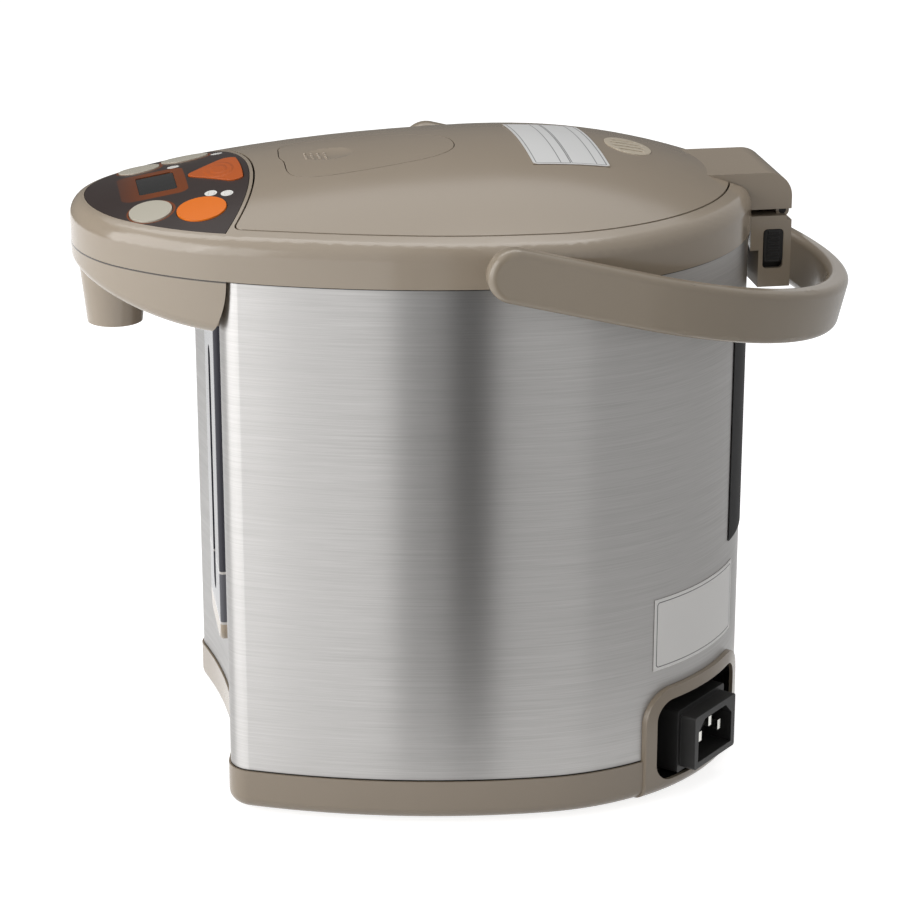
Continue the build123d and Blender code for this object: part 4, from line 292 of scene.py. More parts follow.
def flag(name, start, end, level, radius=NEAR_RADIUS, height=NEAR_HEIGHT):
    """A sheet on the floor, bent round the pot from one azimuth to another, that only reflections see."""
    foot = radius * direction(start, 0.0)
    sheet = bmesh.new()
    ends = [sheet.verts.new(foot), sheet.verts.new(foot + Vector((0.0, 0.0, height)))]
    side = sheet.edges.new(ends)
    bmesh.ops.spin(sheet, geom=ends + [side], cent=(0, 0, 0), axis=(0, 0, 1), angle=radians(end - start),
                   steps=max(2, int((end - start) / FLAG_STEP)))
    material = bpy.data.materials.new(name)
    material.use_nodes = True
    tree = material.node_tree
    tree.nodes.clear()
    glow = add(tree, "ShaderNodeEmission")
    glow.inputs["Color"].default_value = grey(level)
    blend = add(tree, "ShaderNodeMixShader")
    put(tree, add(tree, "ShaderNodeLightPath").outputs["Is Glossy Ray"], blend.inputs[0])
    put(tree, add(tree, "ShaderNodeBsdfTransparent").outputs[0], blend.inputs[1])
    put(tree, glow.outputs[0], blend.inputs[2])
    put(tree, blend.outputs[0], add(tree, "ShaderNodeOutputMaterial").inputs["Surface"])
    card = piece_from(sheet, name, material)
    return card


flags = [
    flag("near_flag", -21.0, -9.5, level=0.52),
    flag("dark_flag", -9.5, -0.7, level=0.04),
    flag("pale_flag", -0.7, 24.0, level=0.75),
    flag("grey_flag", 24.0, 112.0, level=0.61),
    flag("rear_flag", 88.0, 262.0, level=0.12, radius=1.2, height=1.1),
]
print("flags:", ", ".join(card.name for card in flags))

# %% [markdown]
# ## Effects that several finishes share
# ### Moulded grain
# Injection-moulded plastic is never perfectly smooth: it has a very fine grain, and the melt leaves long
# soft waves.  Real grain would need millions of faces, so it is noise: fine noise is a height for the
# shader, and slow noise shifts the tone and the gloss.  Scales are in cells per metre.

# %% Make the grain
def make_grain():
    """Fine noise as a height, and slow noise as a shade."""
    group, given, out = effect(
        "moulded grain", [("Scale", 2500.0), ("Waves", 12.0)], ["Height", "Shade"]
    )
    place = object_vector(group)
    put(group, noise(group, place, given["Scale"]), out["Height"])
    put(group, ramp(group, noise(group, place, given["Waves"]), 0.2, 0.8), out["Shade"])
    return group


MOULDED_GRAIN = make_grain()
print("effect:", MOULDED_GRAIN.name)

# %% [markdown]
# ### Edge wear
# Edges that hands touch turn paler.  They could be painted by hand, but Pointiness already tells how
# sharply the mesh bends outwards.  Noise breaks the mask up, because wear is never an even line.

# %% Make the wear
WEAR_PATCHES = 220.0


def make_wear():
    """A patchy mask on the edges that stand out."""
    group, given, out = effect("edge wear", [("Start", 0.62), ("Full", 0.85)], ["Mask"])
    pointed = add(group, "ShaderNodeNewGeometry").outputs["Pointiness"]
    patches = ramp(group, noise(group, object_vector(group), WEAR_PATCHES, 4.0), 0.35, 0.65)
    edges = ramp(group, pointed, given["Start"], given["Full"])
    put(group, calc(group, "MULTIPLY", edges, patches), out["Mask"])
    return group


EDGE_WEAR = make_wear()
print("effect:", EDGE_WEAR.name)

# %% [markdown]
# ### Dust
# Dust lies on what faces up.  The height of the normal finds those faces, whatever the shape is, and fine
# noise turns the layer into specks.

# %% Make the dust
DUST_SPECKS = 2600.0


def make_dust():
    """Specks on the faces that look up."""
    group, given, out = effect("dust", [("Amount", 0.1)], ["Mask"])
    facing = add(group, "ShaderNodeSeparateXYZ")
    put(group, add(group, "ShaderNodeNewGeometry").outputs["Normal"], facing.inputs[0])
    specks = ramp(group, noise(group, object_vector(group), DUST_SPECKS), 0.45, 0.9)
    upward = ramp(group, facing.outputs["Z"], 0.3, 1.0)
    layer = calc(group, "MULTIPLY", specks, upward)
    put(group, calc(group, "MULTIPLY", layer, given["Amount"]), out["Mask"])
    return group


DUST = make_dust()
print("effect:", DUST.name)

# %% [markdown]
# ### Brushed lines
# A belt draws long level scratches round the sheet.  Noise that is stretched along the scratches makes
# them: its scale is low sideways and very high upwards.  A slower, broader layer keeps the lines from
# being all alike.

# %% Make the brushing
BAND_STRETCH = (0.5, 0.5, 0.25)
BAND_SHARE = 0.15


def make_brushing():
    """Noise that is drawn out round the body, so that its level changes quickly with height only."""
    group, given, out = effect(
        "brushed lines", [("Length", 22.0), ("Lines", 2600.0)], ["Height", "Shade"]
    )
    sizes = add(group, "ShaderNodeCombineXYZ")
    for socket, label in zip(sizes.inputs, ("Length", "Length", "Lines")):
        put(group, given[label], socket)
    stretch = add(group, "ShaderNodeVectorMath", operation="MULTIPLY")
    put(group, object_vector(group), stretch.inputs[0])
    put(group, sizes.outputs[0], stretch.inputs[1])
    lines = noise(group, stretch.outputs[0], 1.0, 3.0, 0.7)
    slow = add(group, "ShaderNodeVectorMath", operation="MULTIPLY")
    put(group, stretch.outputs[0], slow.inputs[0])
    slow.inputs[1].default_value = BAND_STRETCH
    bands = noise(group, slow.outputs[0], 1.0, 3.0)
    put(group, lines, out["Height"])
    most = calc(group, "MULTIPLY", lines, 1.0 - BAND_SHARE)
    put(group, calc(group, "MULTIPLY_ADD", bands, BAND_SHARE, most), out["Shade"])
    return group


BRUSHED_LINES = make_brushing()
print("effect:", BRUSHED_LINES.name)

# %% [markdown]
# ### Printed boxes
# The panel's field and the labels' frames are rounded rectangles.  An image would blur close up and has
# to be stored, so they are worked out from the distance to the rectangle's edge: inside it is the fill,
# and a narrow strip along it is the line.

# %% Make the printed box
PRINT_SOFTNESS = 0.08 * MM


def make_box_print():
    """A rounded rectangle on a plane: its fill, and a line along its edge."""
    group, given, out = effect(
        "printed box",
        [("U", 0.0), ("V", 0.0), ("Half width", 0.02), ("Half height", 0.01), ("Corner", 0.002),
         ("Line", 0.0003)],
        ["Fill", "Edge"],
    )
    outside = []
    for place, half in (("U", "Half width"), ("V", "Half height")):
        reach = calc(group, "SUBTRACT", given[half], given["Corner"])
        outside.append(calc(group, "SUBTRACT", calc(group, "ABSOLUTE", given[place]), reach))
    clipped = [calc(group, "MAXIMUM", value, 0.0) for value in outside]
    squares = [calc(group, "MULTIPLY", value, value) for value in clipped]
    corner = calc(group, "SQRT", calc(group, "ADD", *squares))
    inner = calc(group, "MINIMUM", calc(group, "MAXIMUM", *outside), 0.0)
    distance = calc(group, "SUBTRACT", calc(group, "ADD", corner, inner), given["Corner"])
    put(group, ramp(group, distance, PRINT_SOFTNESS, -PRINT_SOFTNESS), out["Fill"])
    from_line = calc(group, "SUBTRACT", calc(group, "ABSOLUTE", distance), given["Line"])
    put(group, ramp(group, from_line, PRINT_SOFTNESS, -PRINT_SOFTNESS), out["Edge"])
    return group


BOX_PRINT = make_box_print()
print("effect:", BOX_PRINT.name)

# %% [markdown]
# ## Finishes
# ### Moulded plastic and rubber
# One function makes every plastic and rubber of the pot: its colour drifts a little with the melt waves,
# worn edges go paler, dust settles on top, and the grain roughens the gloss.  One function rather than
# many keeps the family alike, as pieces from one factory are.

# %% Plastics
RELIEF_HEIGHT = 0.25 * MM
DUST_COLOUR = srgb(196, 192, 184)
WORN_SHARE = 0.3
GLOSS_DRIFT = 0.03
DUST_ROUGHNESS = 0.4


def new_finish(name):
    """An empty material: its node tree and its Principled shader."""
    material = bpy.data.materials.new(name)
    material.use_nodes = True
    tree = material.node_tree
    return material, tree, tree.nodes["Principled BSDF"]


def give_bump(tree, shader, height, depth):
    """Feeds a height to the shader's normal, and hands back the node that does it."""
    bump = add(tree, "ShaderNodeBump")
    bump.inputs["Strength"].default_value = 1.0
    bump.inputs["Distance"].default_value = depth
    put(tree, height, bump.inputs["Height"])
    put(tree, bump.outputs[0], shader.inputs["Normal"])
    return bump


def plastic(name, colour, roughness, grain=2500.0, depth=0.000004, wear=0.12, dust=0.03, drift=0.02,
            gloss=0.5, base=None, relief=None):
    """Moulded plastic.  base may print on the plain colour, and relief may raise a shape on it."""
    material, tree, shader = new_finish(name)
    shader.inputs["Specular IOR Level"].default_value = gloss
    texture = use(tree, MOULDED_GRAIN, scale=grain)
    tone = mix(tree, texture["Shade"], lighter(colour, -drift), lighter(colour, drift))
    if base:
        tone = base(tree, tone)
    worn = calc(tree, "MULTIPLY", use(tree, EDGE_WEAR)["Mask"], wear)
    tone = mix(tree, worn, tone, lighter(colour, WORN_SHARE))
    settled = use(tree, DUST, amount=dust)["Mask"]
    put(tree, mix(tree, settled, tone, DUST_COLOUR), shader.inputs["Base Color"])
    uneven = ramp(tree, texture["Shade"], 0.0, 1.0, roughness - GLOSS_DRIFT, roughness + GLOSS_DRIFT)
    put(tree, calc(tree, "MULTIPLY_ADD", settled, DUST_ROUGHNESS, uneven), shader.inputs["Roughness"])
    first = give_bump(tree, shader, texture["Height"], depth)
    if relief:
        raised = give_bump(tree, shader, relief(tree), RELIEF_HEIGHT)
        put(tree, first.outputs[0], raised.inputs["Normal"])
    return material


FINISH = {
    "taupe_gloss": plastic("taupe_gloss", TAUPE, 0.17, depth=0.000002, gloss=0.7),
    "button_orange": plastic("button_orange", srgb(238, 120, 8), 0.3, gloss=0.2),
    "button_grey": plastic("button_grey", srgb(196, 190, 174), 0.28, gloss=0.4),
    "black": plastic("black", BLACK, 0.45, grain=1800.0, depth=0.00001, gloss=0.35),
    "pale_plastic": plastic("pale_plastic", srgb(206, 202, 192), 0.4),
    "silicone": plastic("silicone", srgb(214, 210, 200), 0.55, grain=1500.0, depth=0.00001),
    "foot_rubber": plastic("foot_rubber", srgb(34, 34, 34), 0.7, grain=1200.0, depth=0.00004),
    "board": plastic("board", srgb(36, 96, 58), 0.35),
    "handle_taupe": plastic("handle_taupe", srgb(152, 139, 121), 0.2, depth=0.000002, gloss=0.6),
    "display": plastic("display", srgb(40, 39, 38), 0.1, depth=0.000001, wear=0.0, dust=0.01, gloss=0.6),
    "lamp": plastic("lamp", srgb(244, 243, 238), 0.25, wear=0.0, dust=0.0),
    "felt": plastic("felt", srgb(214, 208, 192), 0.9, grain=700.0, depth=0.0003, wear=0.0, drift=0.1),
    "plate": plastic("plate", srgb(36, 35, 36), 0.6, gloss=0.1),
    "vent": plastic("vent", srgb(214, 201, 180), 0.25),
}
print("plain finishes:", ", ".join(FINISH))

# %% [markdown]
# ### The wrapped steel sheet
# The sheet is brushed all the way round before it is bent.  Fine level lines scatter light up and down but
# hardly sideways, which is why the steel shows upright bands.  Noise alone would only look striped, so the
# shader's anisotropy stretches the highlight as well, and the lines change height, tone and gloss.  A thin
# dark line of painted shade stands for the shadow where the sheet meets the collar and the base.

# %% Brushed steel
# how far the painted shade reaches on each side of a seam
SEAM_SHADE_WIDTH = 0.7 * MM
shell_low, shell_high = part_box("outer_shell")


def steel(name, colour, roughness, length, lines, depth, contrast, seams=()):
    """Brushed metal: the lobe is wide up and down, and narrow sideways.  Level seams get painted shade."""
    material, tree, shader = new_finish(name)
    brushed = use(tree, BRUSHED_LINES, length=length, lines=lines)
    shade = ramp(tree, brushed["Shade"], 0.3, 0.7)
    tone = mix(tree, shade, lighter(colour, -contrast), lighter(colour, contrast))
    height = object_place(tree)["Z"]
    # painted shade: a dark line along each level seam, where the sheet meets the collar and the base
    for level in seams:
        gap = calc(tree, "ABSOLUTE", calc(tree, "SUBTRACT", height, level))
        tone = mix(tree, ramp(tree, gap, SEAM_SHADE_WIDTH, 0.5 * SEAM_SHADE_WIDTH), tone, srgb(40, 38, 36))
    put(tree, tone, shader.inputs["Base Color"])
    put(tree, ramp(tree, shade, 0.0, 1.0, roughness + 0.04, roughness - 0.04), shader.inputs["Roughness"])
    shader.inputs["Metallic"].default_value = 1.0
    shader.inputs["Anisotropic"].default_value = 0.85
    shader.inputs["Anisotropic Rotation"].default_value = 0.25
    give_bump(tree, shader, brushed["Height"], depth)
    return material


FINISH["sheet_steel"] = steel("sheet_steel", srgb(182, 180, 178), roughness=0.42, length=28.0, lines=3300.0,
                              depth=0.000007, contrast=0.09, seams=(shell_low.z, shell_high.z))
FINISH["inner_steel"] = steel("inner_steel", srgb(205, 205, 204), roughness=0.35, length=20.0, lines=2500.0,
                              depth=0.000005, contrast=0.05)
print("seams at", [round(z / MM, 1) for z in (shell_low.z, shell_high.z)], "mm")

# %% [markdown]
# ### Other metals
# Blades, heater, motor and copper are small or hidden.  They need no lines of their own, so a fine even
# grain stands for cast, pressed and plated metal alike, and only colour, gloss and depth differ.

# %% Plain metals
def metal(name, colour, roughness, scale, depth):
    """Plain metal with a fine even grain."""
    material, tree, shader = new_finish(name)
    texture = use(tree, MOULDED_GRAIN, scale=scale, waves=60.0)
    tone = mix(tree, texture["Shade"], lighter(colour, -0.1), lighter(colour, 0.08))
    put(tree, tone, shader.inputs["Base Color"])
    gloss = ramp(tree, texture["Shade"], 0.0, 1.0, roughness + 0.06, roughness - 0.04)
    put(tree, gloss, shader.inputs["Roughness"])
    shader.inputs["Metallic"].default_value = 1.0
    give_bump(tree, shader, texture["Height"], depth)
    return material


FINISH["contact"] = metal("contact", srgb(215, 214, 208), 0.2, 900.0, 0.000004)
FINISH["heater_metal"] = metal("heater_metal", srgb(180, 180, 178), 0.45, 700.0, 0.00003)
FINISH["motor_metal"] = metal("motor_metal", srgb(150, 150, 152), 0.35, 1200.0, 0.000008)
FINISH["copper"] = metal("copper", srgb(196, 116, 72), 0.3, 1500.0, 0.000006)
print("metals ready")

# %% [markdown]
# ### Clear pieces
# The level window and the gauge tube are clear plastic.  Alpha would make them thin air; transmission with
# the plastic's own index bends the light as it does in the real window, and a trace of haze keeps it from
# looking like nothing.

# %% Clear plastic
ACRYLIC_IOR = 1.49


def clear(name, colour, roughness):
    """Clear moulded plastic or glass with a trace of haze."""
    material, tree, shader = new_finish(name)
    texture = use(tree, MOULDED_GRAIN, scale=800.0, waves=30.0)
    put(tree, mix(tree, texture["Shade"], colour, lighter(colour, -0.04)), shader.inputs["Base Color"])
    haze = ramp(tree, texture["Shade"], 0.0, 1.0, roughness, roughness + 0.04)
    put(tree, haze, shader.inputs["Roughness"])
    shader.inputs["Transmission Weight"].default_value = 1.0
    shader.inputs["IOR"].default_value = ACRYLIC_IOR
    give_bump(tree, shader, texture["Height"], 0.000002)
    return material


FINISH["clear"] = clear("clear", srgb(232, 240, 242), 0.03)
print(len(FINISH), "finishes so far")

# %% [markdown]
# ### The control panel's print
# The panel is printed: an orange-brown field round the display, a thin ring round three of the buttons,
# and a white oval round each lamp.  The prints follow Object coordinates, which on this frame are simply
# the pot's own metres, so a print is placed with the same numbers as the piece that it surrounds.

# %% Print the panel
FIELD_HALF = (18.8 * MM, 12.5 * MM)
FIELD_SHIFT, FIELD_CORNER, FIELD_FADE = 1.6 * MM, 4.5 * MM, 0.35
FIELD_BROWN, RING_BROWN, LAMP_WHITE = srgb(122, 62, 26), srgb(128, 66, 30), srgb(244, 243, 238)
RING_WIDTH, BUTTON_EARS = 0.8 * MM, 0.9 * MM
LAMPS = [(26.0, -98.5), (29.0, -92.8), (-35.0, -91.0), (-21.5, -108.8)]
LAMP_HALF = (2.7 * MM, 2.3 * MM)


def middle_of(node):
    """The middle and the half size of a piece's box, at rest."""
    low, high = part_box(node)
    return (low + high) / 2, (high - low) / 2


def oval(tree, place, middle, half):
    """The squared distance from an oval's middle as seen from above: less than one inside, more outside."""
    squares = []
    for axis, centre, reach in zip("XY", middle, half):
        share = calc(tree, "DIVIDE", calc(tree, "SUBTRACT", place[axis], centre), reach)
        squares.append(calc(tree, "MULTIPLY", share, share))
    return calc(tree, "ADD", *squares)


def print_panel(tree, tone):
    """The lamps' ovals, the orange-brown field and the rings round three buttons."""
    place = object_place(tree)
    for x, y in LAMPS:
        spot = oval(tree, place, (x * MM, y * MM), LAMP_HALF)
        tone = mix(tree, ramp(tree, spot, 1.05, 0.95), tone, LAMP_WHITE)
    display, _ = middle_of("display_window")
    v = calc(tree, "SUBTRACT", place["Y"], display.y - FIELD_SHIFT)
    field = use(tree, BOX_PRINT, u=place["X"], v=v, half_width=FIELD_HALF[0], half_height=FIELD_HALF[1],
                corner=FIELD_CORNER)["Fill"]
    fade = ramp(tree, v, -FIELD_HALF[1], 0.0, FIELD_FADE, 1.0)
    tone = mix(tree, calc(tree, "MULTIPLY", field, fade), tone, FIELD_BROWN)
    for button in ("timer_button", "temperature_button", "dispense_button"):
        middle, half = middle_of(button)
        ring = oval(tree, place, middle, (half.x - BUTTON_EARS + RING_WIDTH, half.y + RING_WIDTH))
        tone = mix(tree, ramp(tree, ring, 1.02, 0.98), tone, RING_BROWN)
    return tone


FINISH["panel_dark"] = plastic("panel_dark", srgb(52, 41, 38), 0.3, dust=0.01, wear=0.05, gloss=0.2,
                               base=print_panel)
print("panel printed, with", len(LAMPS), "lamps")

# %% [markdown]
# ### The reboil key
# Two low ovals, one on the other, let a finger find the reboil key.  Each step is a quarter of a millimetre
# high and fades into the key, which is one moulding, so the ovals are relief in its finish rather than new
# faces.

# %% Raise the key's contours
CONTOUR_MIDDLE, CONTOUR_HALF = (0.0, -93.4 * MM), (10.5 * MM, 5.4 * MM)


def reboil_contours(tree):
    """Two raised ovals on the reboil key, one inside the other."""
    spot = oval(tree, object_place(tree), CONTOUR_MIDDLE, CONTOUR_HALF)
    return calc(tree, "ADD", ramp(tree, spot, 1.15, 0.85), ramp(tree, spot, 0.4, 0.22))


FINISH["reboil_orange"] = plastic("reboil_orange", srgb(196, 90, 16), 0.3, gloss=0.25,
                                  relief=reboil_contours)
print("contours are", [round(2 * half / MM, 1) for half in CONTOUR_HALF], "mm across")

# %% [markdown]
# ### Seams and the niche
# Where the undercover meets the collar, a dark line of painted shade stands for the shadow in the gap
# between them.  The base is taupe outside, and inside the niche behind the mains inlet it is painted black,
# as painted shade in the recess.  Both are one moulding each, so one material carries two tones, and a mask
# on Object coordinates says where the second one is.

# %% The undercover's seam
SEAM_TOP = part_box("nose_undercover")[1].z


def painted_seam_shade(tree, tone):
    """Painted shade: a dark line along the undercover's upper edge, for the gap under the collar."""
    height = object_place(tree)["Z"]
    # painted shade along the seam with the collar
    line = ramp(tree, height, SEAM_TOP - 0.7 * MM, SEAM_TOP - 0.4 * MM)
    return mix(tree, line, tone, srgb(48, 42, 36))


FINISH["undercover"] = plastic("undercover", TAUPE, 0.17, depth=0.000002, gloss=0.7, base=painted_seam_shade)
print("undercover's seam at", round(SEAM_TOP / MM, 1), "mm")


# %% The base's niche
AXIS_Y = 17.0 * MM
DIAGONAL = cos(radians(45))
NICHE_HALF_WIDTH, NICHE_RADIUS, NICHE_BACK = 28.5 * MM, 93.2 * MM, 60.0 * MM
NICHE_FLOOR, NICHE_TOP = 6.5 * MM, 41.5 * MM


def painted_niche_shade(tree, tone):
    """Painted shade: black inside the arch round the mains inlet, which looks out half-way between +X and
    +Y.
    """
    place = object_place(tree)
    x, y = place["X"], calc(tree, "SUBTRACT", place["Y"], AXIS_Y)
    along = calc(tree, "MULTIPLY", calc(tree, "SUBTRACT", y, x), DIAGONAL)
    outward = calc(tree, "MULTIPLY", calc(tree, "ADD", y, x), DIAGONAL)
    squares = [calc(tree, "MULTIPLY", side, side) for side in (x, y)]
    radius = calc(tree, "SQRT", calc(tree, "ADD", *squares))
    mask = calc(tree, "LESS_THAN", calc(tree, "ABSOLUTE", along), NICHE_HALF_WIDTH)
    for test, value, limit in (
        ("LESS_THAN", place["Z"], NICHE_TOP), ("GREATER_THAN", place["Z"], NICHE_FLOOR),
        ("LESS_THAN", radius, NICHE_RADIUS), ("GREATER_THAN", outward, NICHE_BACK),
    ):
        mask = calc(tree, "MULTIPLY", mask, calc(tree, test, value, limit))
    # painted shade: the recess round the inlet is coloured black
    return mix(tree, mask, tone, BLACK)


FINISH["base_taupe"] = plastic("base_taupe", srgb(150, 136, 118), 0.2, depth=0.000002, gloss=0.6,
                               base=painted_niche_shade)
print("niche is", round(2 * NICHE_HALF_WIDTH / MM, 1), "mm wide")

# %% [markdown]
# ### The front panel
# The strip under the nose is one smooth moulding with three tones: navy beside the level window, grey at
# the window's foot, and a taupe tip.  A pale trim line covers each change.

# %% Print the front
WINDOW_FOOT, TIP_TOP = 80.0 * MM, 59.0 * MM
TONE_BLUR, TRIM_EDGE, TRIM_CORE = 0.2 * MM, 0.6 * MM, 0.4 * MM


def print_front(tree, tone):
    """Navy above, grey below the window, and a taupe tip, with a pale line at each change."""
    height = object_place(tree)["Z"]
    for level, colour in ((WINDOW_FOOT, srgb(88, 88, 94)), (TIP_TOP, TAUPE)):
        tone = mix(tree, ramp(tree, height, level + TONE_BLUR, level - TONE_BLUR), tone, colour)
        distance = calc(tree, "ABSOLUTE", calc(tree, "SUBTRACT", height, level))
        tone = mix(tree, ramp(tree, distance, TRIM_EDGE, TRIM_CORE), tone, srgb(196, 192, 188))
    return tone


FINISH["front_navy"] = plastic("front_navy", srgb(34, 33, 46), 0.2, dust=0.02, gloss=0.4, base=print_front)
print("front panel printed")

# %% [markdown]
# ### Labels
# The lid's label has two framed halves with a strip for a heading in each, and the label above the inlet
# has one frame.  Both are left blank.  On the flat lid a frame is measured along X and Y.  On the round
# body it is measured along the bend instead, as an angle round the body's axis times the radius, so that
# it doesn't get narrower towards the side.

# %% The lid's label
LABEL_INK = srgb(120, 120, 122)
LABEL_LINE, LABEL_CORNER = 0.16 * MM, 1.8 * MM
LID_MARGIN, HALVES_GAP, LID_CORNER = 1.2 * MM, 0.3 * MM, 0.6 * MM
HEADING_SHARE = 0.28


def print_lid_label(tree, tone):
    """Two framed halves side by side, each with a strip for its heading."""
    place = object_place(tree)
    middle, half = middle_of("lid_label")
    u = calc(tree, "SUBTRACT", place["X"], middle.x)
    v = calc(tree, "SUBTRACT", place["Y"], middle.y)
    reach = (half.y - LID_MARGIN - HALVES_GAP) / 2
    for side in (-1, 1):
        from_half = calc(tree, "SUBTRACT", v, side * (reach + HALVES_GAP))
        for share in (1.0, HEADING_SHARE):
            from_frame = calc(tree, "SUBTRACT", from_half, (1.0 - share) * reach)
            line = use(tree, BOX_PRINT, u=u, v=from_frame, half_width=half.x - LID_MARGIN,
                       half_height=share * reach, corner=LID_CORNER, line=LABEL_LINE)["Edge"]
            tone = mix(tree, line, tone, LABEL_INK)
    sheet = use(tree, BOX_PRINT, u=u, v=v, half_width=half.x, half_height=half.y, corner=LABEL_CORNER)
    return mix(tree, sheet["Fill"], TAUPE, tone)


FINISH["lid_label"] = plastic("lid_label", srgb(232, 232, 231), 0.35, wear=0.0, dust=0.02,
                              base=print_lid_label)
print("lid's label is", [round(2 * half / MM, 1) for half in middle_of("lid_label")[1][:2]], "mm")


# %% The side's label
SIDE_MARGIN, SIDE_CORNER = 1.4 * MM, 1.2 * MM
side_low, side_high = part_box("side_label")
side_first = atan2(side_low.y - AXIS_Y, side_high.x)
side_last = atan2(side_high.y - AXIS_Y, side_low.x)
side_radius = Vector((side_high.x, side_low.y - AXIS_Y)).length
side_width = (side_last - side_first) * side_radius


def print_side_label(tree, tone):
    """A thin frame on a label that is bent round the body."""
    place = object_place(tree)
    turn = calc(tree, "ARCTAN2", calc(tree, "SUBTRACT", place["Y"], AXIS_Y), place["X"])
    from_middle = calc(tree, "SUBTRACT", turn, (side_first + side_last) / 2)
    u = calc(tree, "MULTIPLY", from_middle, side_radius)
    v = calc(tree, "SUBTRACT", place["Z"], (side_low.z + side_high.z) / 2)
    line = use(tree, BOX_PRINT, u=u, v=v, half_width=side_width / 2 - SIDE_MARGIN,
               half_height=(side_high.z - side_low.z) / 2 - SIDE_MARGIN, corner=SIDE_CORNER,
               line=LABEL_LINE)["Edge"]
    return mix(tree, line, tone, srgb(46, 46, 46))


FINISH["side_label"] = plastic("side_label", srgb(250, 248, 245), 0.4, wear=0.0, dust=0.02,
                               base=print_side_label)
print("side's label is", round(side_width / MM, 1), "mm round the bend")

# %% [markdown]
# ## Dressing the frame
# Each piece of the frame takes the finish that its material slot names.  The exceptions are pieces that
# carry a print, a seam or a tone of their own.  The frame's meshes stay as they are, so only what sits in
# their material slots changes.

# %% Give each piece its finish
OWN_FINISH = {
    "indicator_lamps": "lamp", "steam_vent_cover": "vent", "lid_label": "lid_label",
    "side_label": "side_label", "reboil_button": "reboil_orange", "hinge_pin": "black",
    "handle": "handle_taupe", "nose_undercover": "undercover", "base_tray": "base_taupe",
}
slot_of = {part["node"]: part["material_slot"] for part in frame["record"]["subparts"]}
for name, piece in frame["nodes"].items():
    piece.data.materials.clear()
    piece.data.materials.append(FINISH[OWN_FINISH.get(name, slot_of[name])])
print(len(frame["nodes"]), "pieces dressed")

# %% [markdown]
# ## Dots in the lever's dimple
# The thumb finds the lever by a shallow dimple with small raised dots in it.  Relief in the finish would
# vanish at a glancing angle, and sixteen domes are cheap as real shapes.  Each is a squashed ball, half
# sunk in the dimple at the height where a ray from above meets the lever.

# %% Raise the dots
DIMPLE_CENTRE = Vector((0.0, -56.5 * MM, 0.0))
DOT_ROWS, DOT_PITCH, DOT_RADIUS, DOT_SQUASH = 4, 2.5 * MM, 0.62 * MM, 0.75
RAY_START = 0.3


def surface_of(piece):
    """A piece's surface, ready for rays."""
    shape = bmesh.new()
    shape.from_mesh(piece.data)
    surface = BVHTree.FromBMesh(shape)
    shape.free()
    return surface


lever_surface = surface_of(frame["nodes"]["open_lever"])
dots = bmesh.new()
steps = [(i - (DOT_ROWS - 1) / 2) * DOT_PITCH for i in range(DOT_ROWS)]
for y in steps:
    for x in steps:
        above = DIMPLE_CENTRE + Vector((x, y, RAY_START))
        hit = lever_surface.ray_cast(above, Vector((0, 0, -1)))[0]
        dot = bmesh.ops.create_icosphere(dots, subdivisions=2, radius=DOT_RADIUS)["verts"]
        bmesh.ops.scale(dots, vec=(1, 1, DOT_SQUASH), verts=dot)
        bmesh.ops.translate(dots, vec=hit, verts=dot)
for face in dots.faces:
    face.smooth = True
lever_dots = piece_from(dots, "lever_dots", FINISH["taupe_gloss"])
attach(lever_dots, "opening_lever")
print(DOT_ROWS ** 2, "dots on the lever")

# %% [markdown]
# ## A shield behind the slide
# The window in the bracket's cheek is longer than the slide, by its travel.  The real bracket closes that
# gap from inside.  A thin black strip with soft edges behind the slide does the same here, so that no
# light comes through.

# %% Close the slide's window
SHIELD = Vector((0.6 * MM, 9.4 * MM, 21.0 * MM))
SHIELD_EDGE, SHIELD_GAP, HALF_TRAVEL = 0.12 * MM, 0.15 * MM, 1.3 * MM
slide_low, slide_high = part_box("release_slider")
slide_middle = (slide_low + slide_high) / 2
strip = bmesh.new()
bmesh.ops.create_cube(strip, size=1.0)
bmesh.ops.scale(strip, vec=SHIELD, verts=strip.verts)
bmesh.ops.bevel(strip, geom=strip.edges[:], offset=SHIELD_EDGE, segments=2, profile=0.5, affect="EDGES",
                material=-1)
behind = Vector((slide_low.x - SHIELD.x / 2 - SHIELD_GAP, slide_middle.y, slide_middle.z - HALF_TRAVEL))
bmesh.ops.translate(strip, vec=behind, verts=strip.verts)
slide_shield = piece_from(strip, "slide_shield", FINISH["black"])
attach(slide_shield, "pot")
print("shield's middle at", [round(v / MM, 1) for v in behind], "mm")

# %% [markdown]
# ## Rounded edges
# No moulded edge is sharp: the mould's corner leaves a radius of a few tenths of a millimetre, and that
# narrow round is what catches the light along a seam.  The frame's meshes can't change, so the rounding is
# a stack of live modifiers: loose triangles are welded, flat ones are joined again, and only then do the
# corners get their bevel.

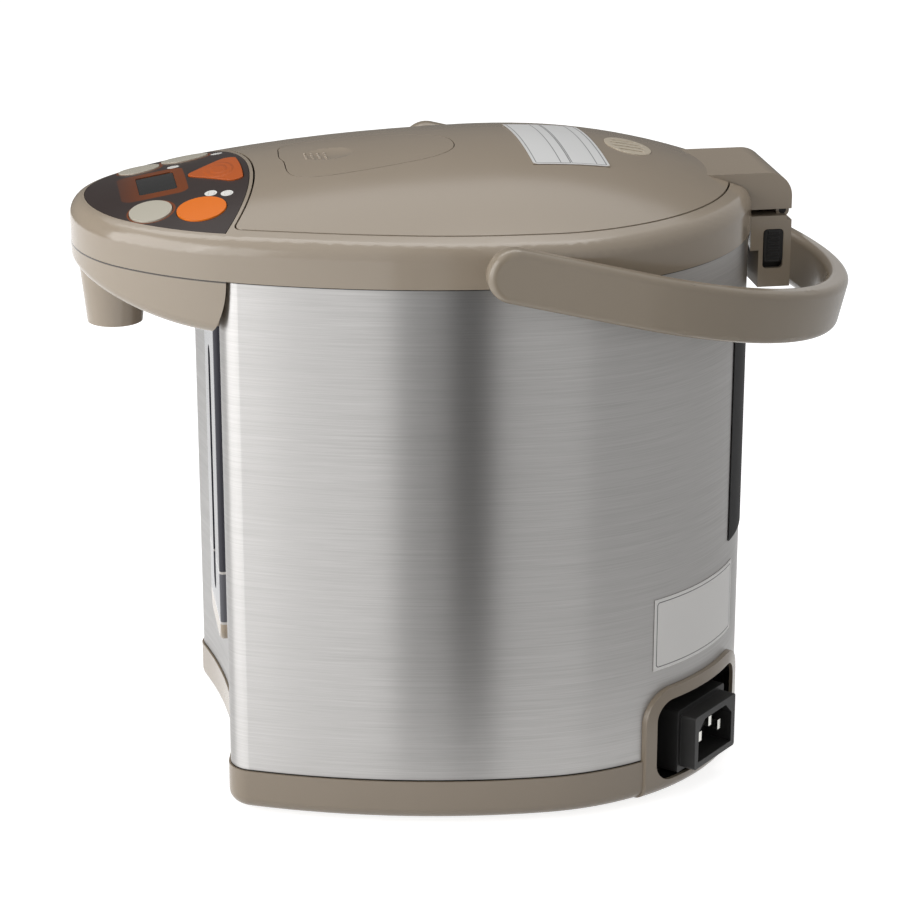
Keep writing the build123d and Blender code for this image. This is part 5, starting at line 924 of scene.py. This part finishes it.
# %% Round the edges
EDGES = {
    "top_collar": 0.4, "nose_undercover": 0.35, "lid_cover": 0.5, "base_tray": 0.4, "handle": 0.6,
    "open_lever": 0.5, "control_panel": 0.15, "hinge_bracket": 0.5, "inlet_block": 0.4, "spout": 0.5,
    "steam_vent_cover": 0.3, "front_panel": 0.3, "release_slider": 0.3, "socket_housing": 0.3,
    "unlock_button": 0.3, "dispense_button": 0.3, "timer_button": 0.3, "temperature_button": 0.3,
    "reboil_button": 0.3, "turntable": 0.4,
}
WELD_DISTANCE, FLAT_ANGLE, CORNER_ANGLE = 0.001 * MM, radians(0.5), radians(30)


def round_edges(piece, width):
    """A live bevel on every corner sharper than 30 degrees."""
    weld = piece.modifiers.new("weld", "WELD")
    weld.merge_threshold = WELD_DISTANCE
    flat = piece.modifiers.new("flat", "DECIMATE")
    flat.decimate_type = "DISSOLVE"
    flat.angle_limit = FLAT_ANGLE
    bevel = piece.modifiers.new("round", "BEVEL")
    bevel.width = width
    bevel.segments = 2
    bevel.limit_method = "ANGLE"
    bevel.angle_limit = CORNER_ANGLE
    bevel.harden_normals = True
    piece.modifiers.new("shading", "WEIGHTED_NORMAL").keep_sharp = True


for node, width in EDGES.items():
    round_edges(frame["nodes"][node], width * MM)
print(len(EDGES), "pieces have rounded edges")

# %% [markdown]
# ## The floor
# A plain sheet far larger than the pot, so that its edge is never in view.  The camera and
# mirror-like surfaces see it glow nearly white, and every other ray sees a pale grey.  So it meets the
# white room without a line, keeps the pot's shadow, and lights the pot from below no more than a table
# would.

# %% Lay the floor
FLOOR_HALF, FLOOR_GREY, FLOOR_GLOW = 6.0, 0.68, 0.80
material, tree, shader = new_finish("floor")
shader.inputs["Base Color"].default_value = grey(FLOOR_GREY)
shader.inputs["Roughness"].default_value = 0.8
shader.inputs["Specular IOR Level"].default_value = 0.1
shader.inputs["Emission Color"].default_value = WHITE
put(tree, calc(tree, "MULTIPLY", open_rays(tree), FLOOR_GLOW), shader.inputs["Emission Strength"])
sheet = bmesh.new()
bmesh.ops.create_grid(sheet, x_segments=1, y_segments=1, size=FLOOR_HALF)
floor = piece_from(sheet, "floor", material)
print("floor is", 2 * FLOOR_HALF, "m wide")
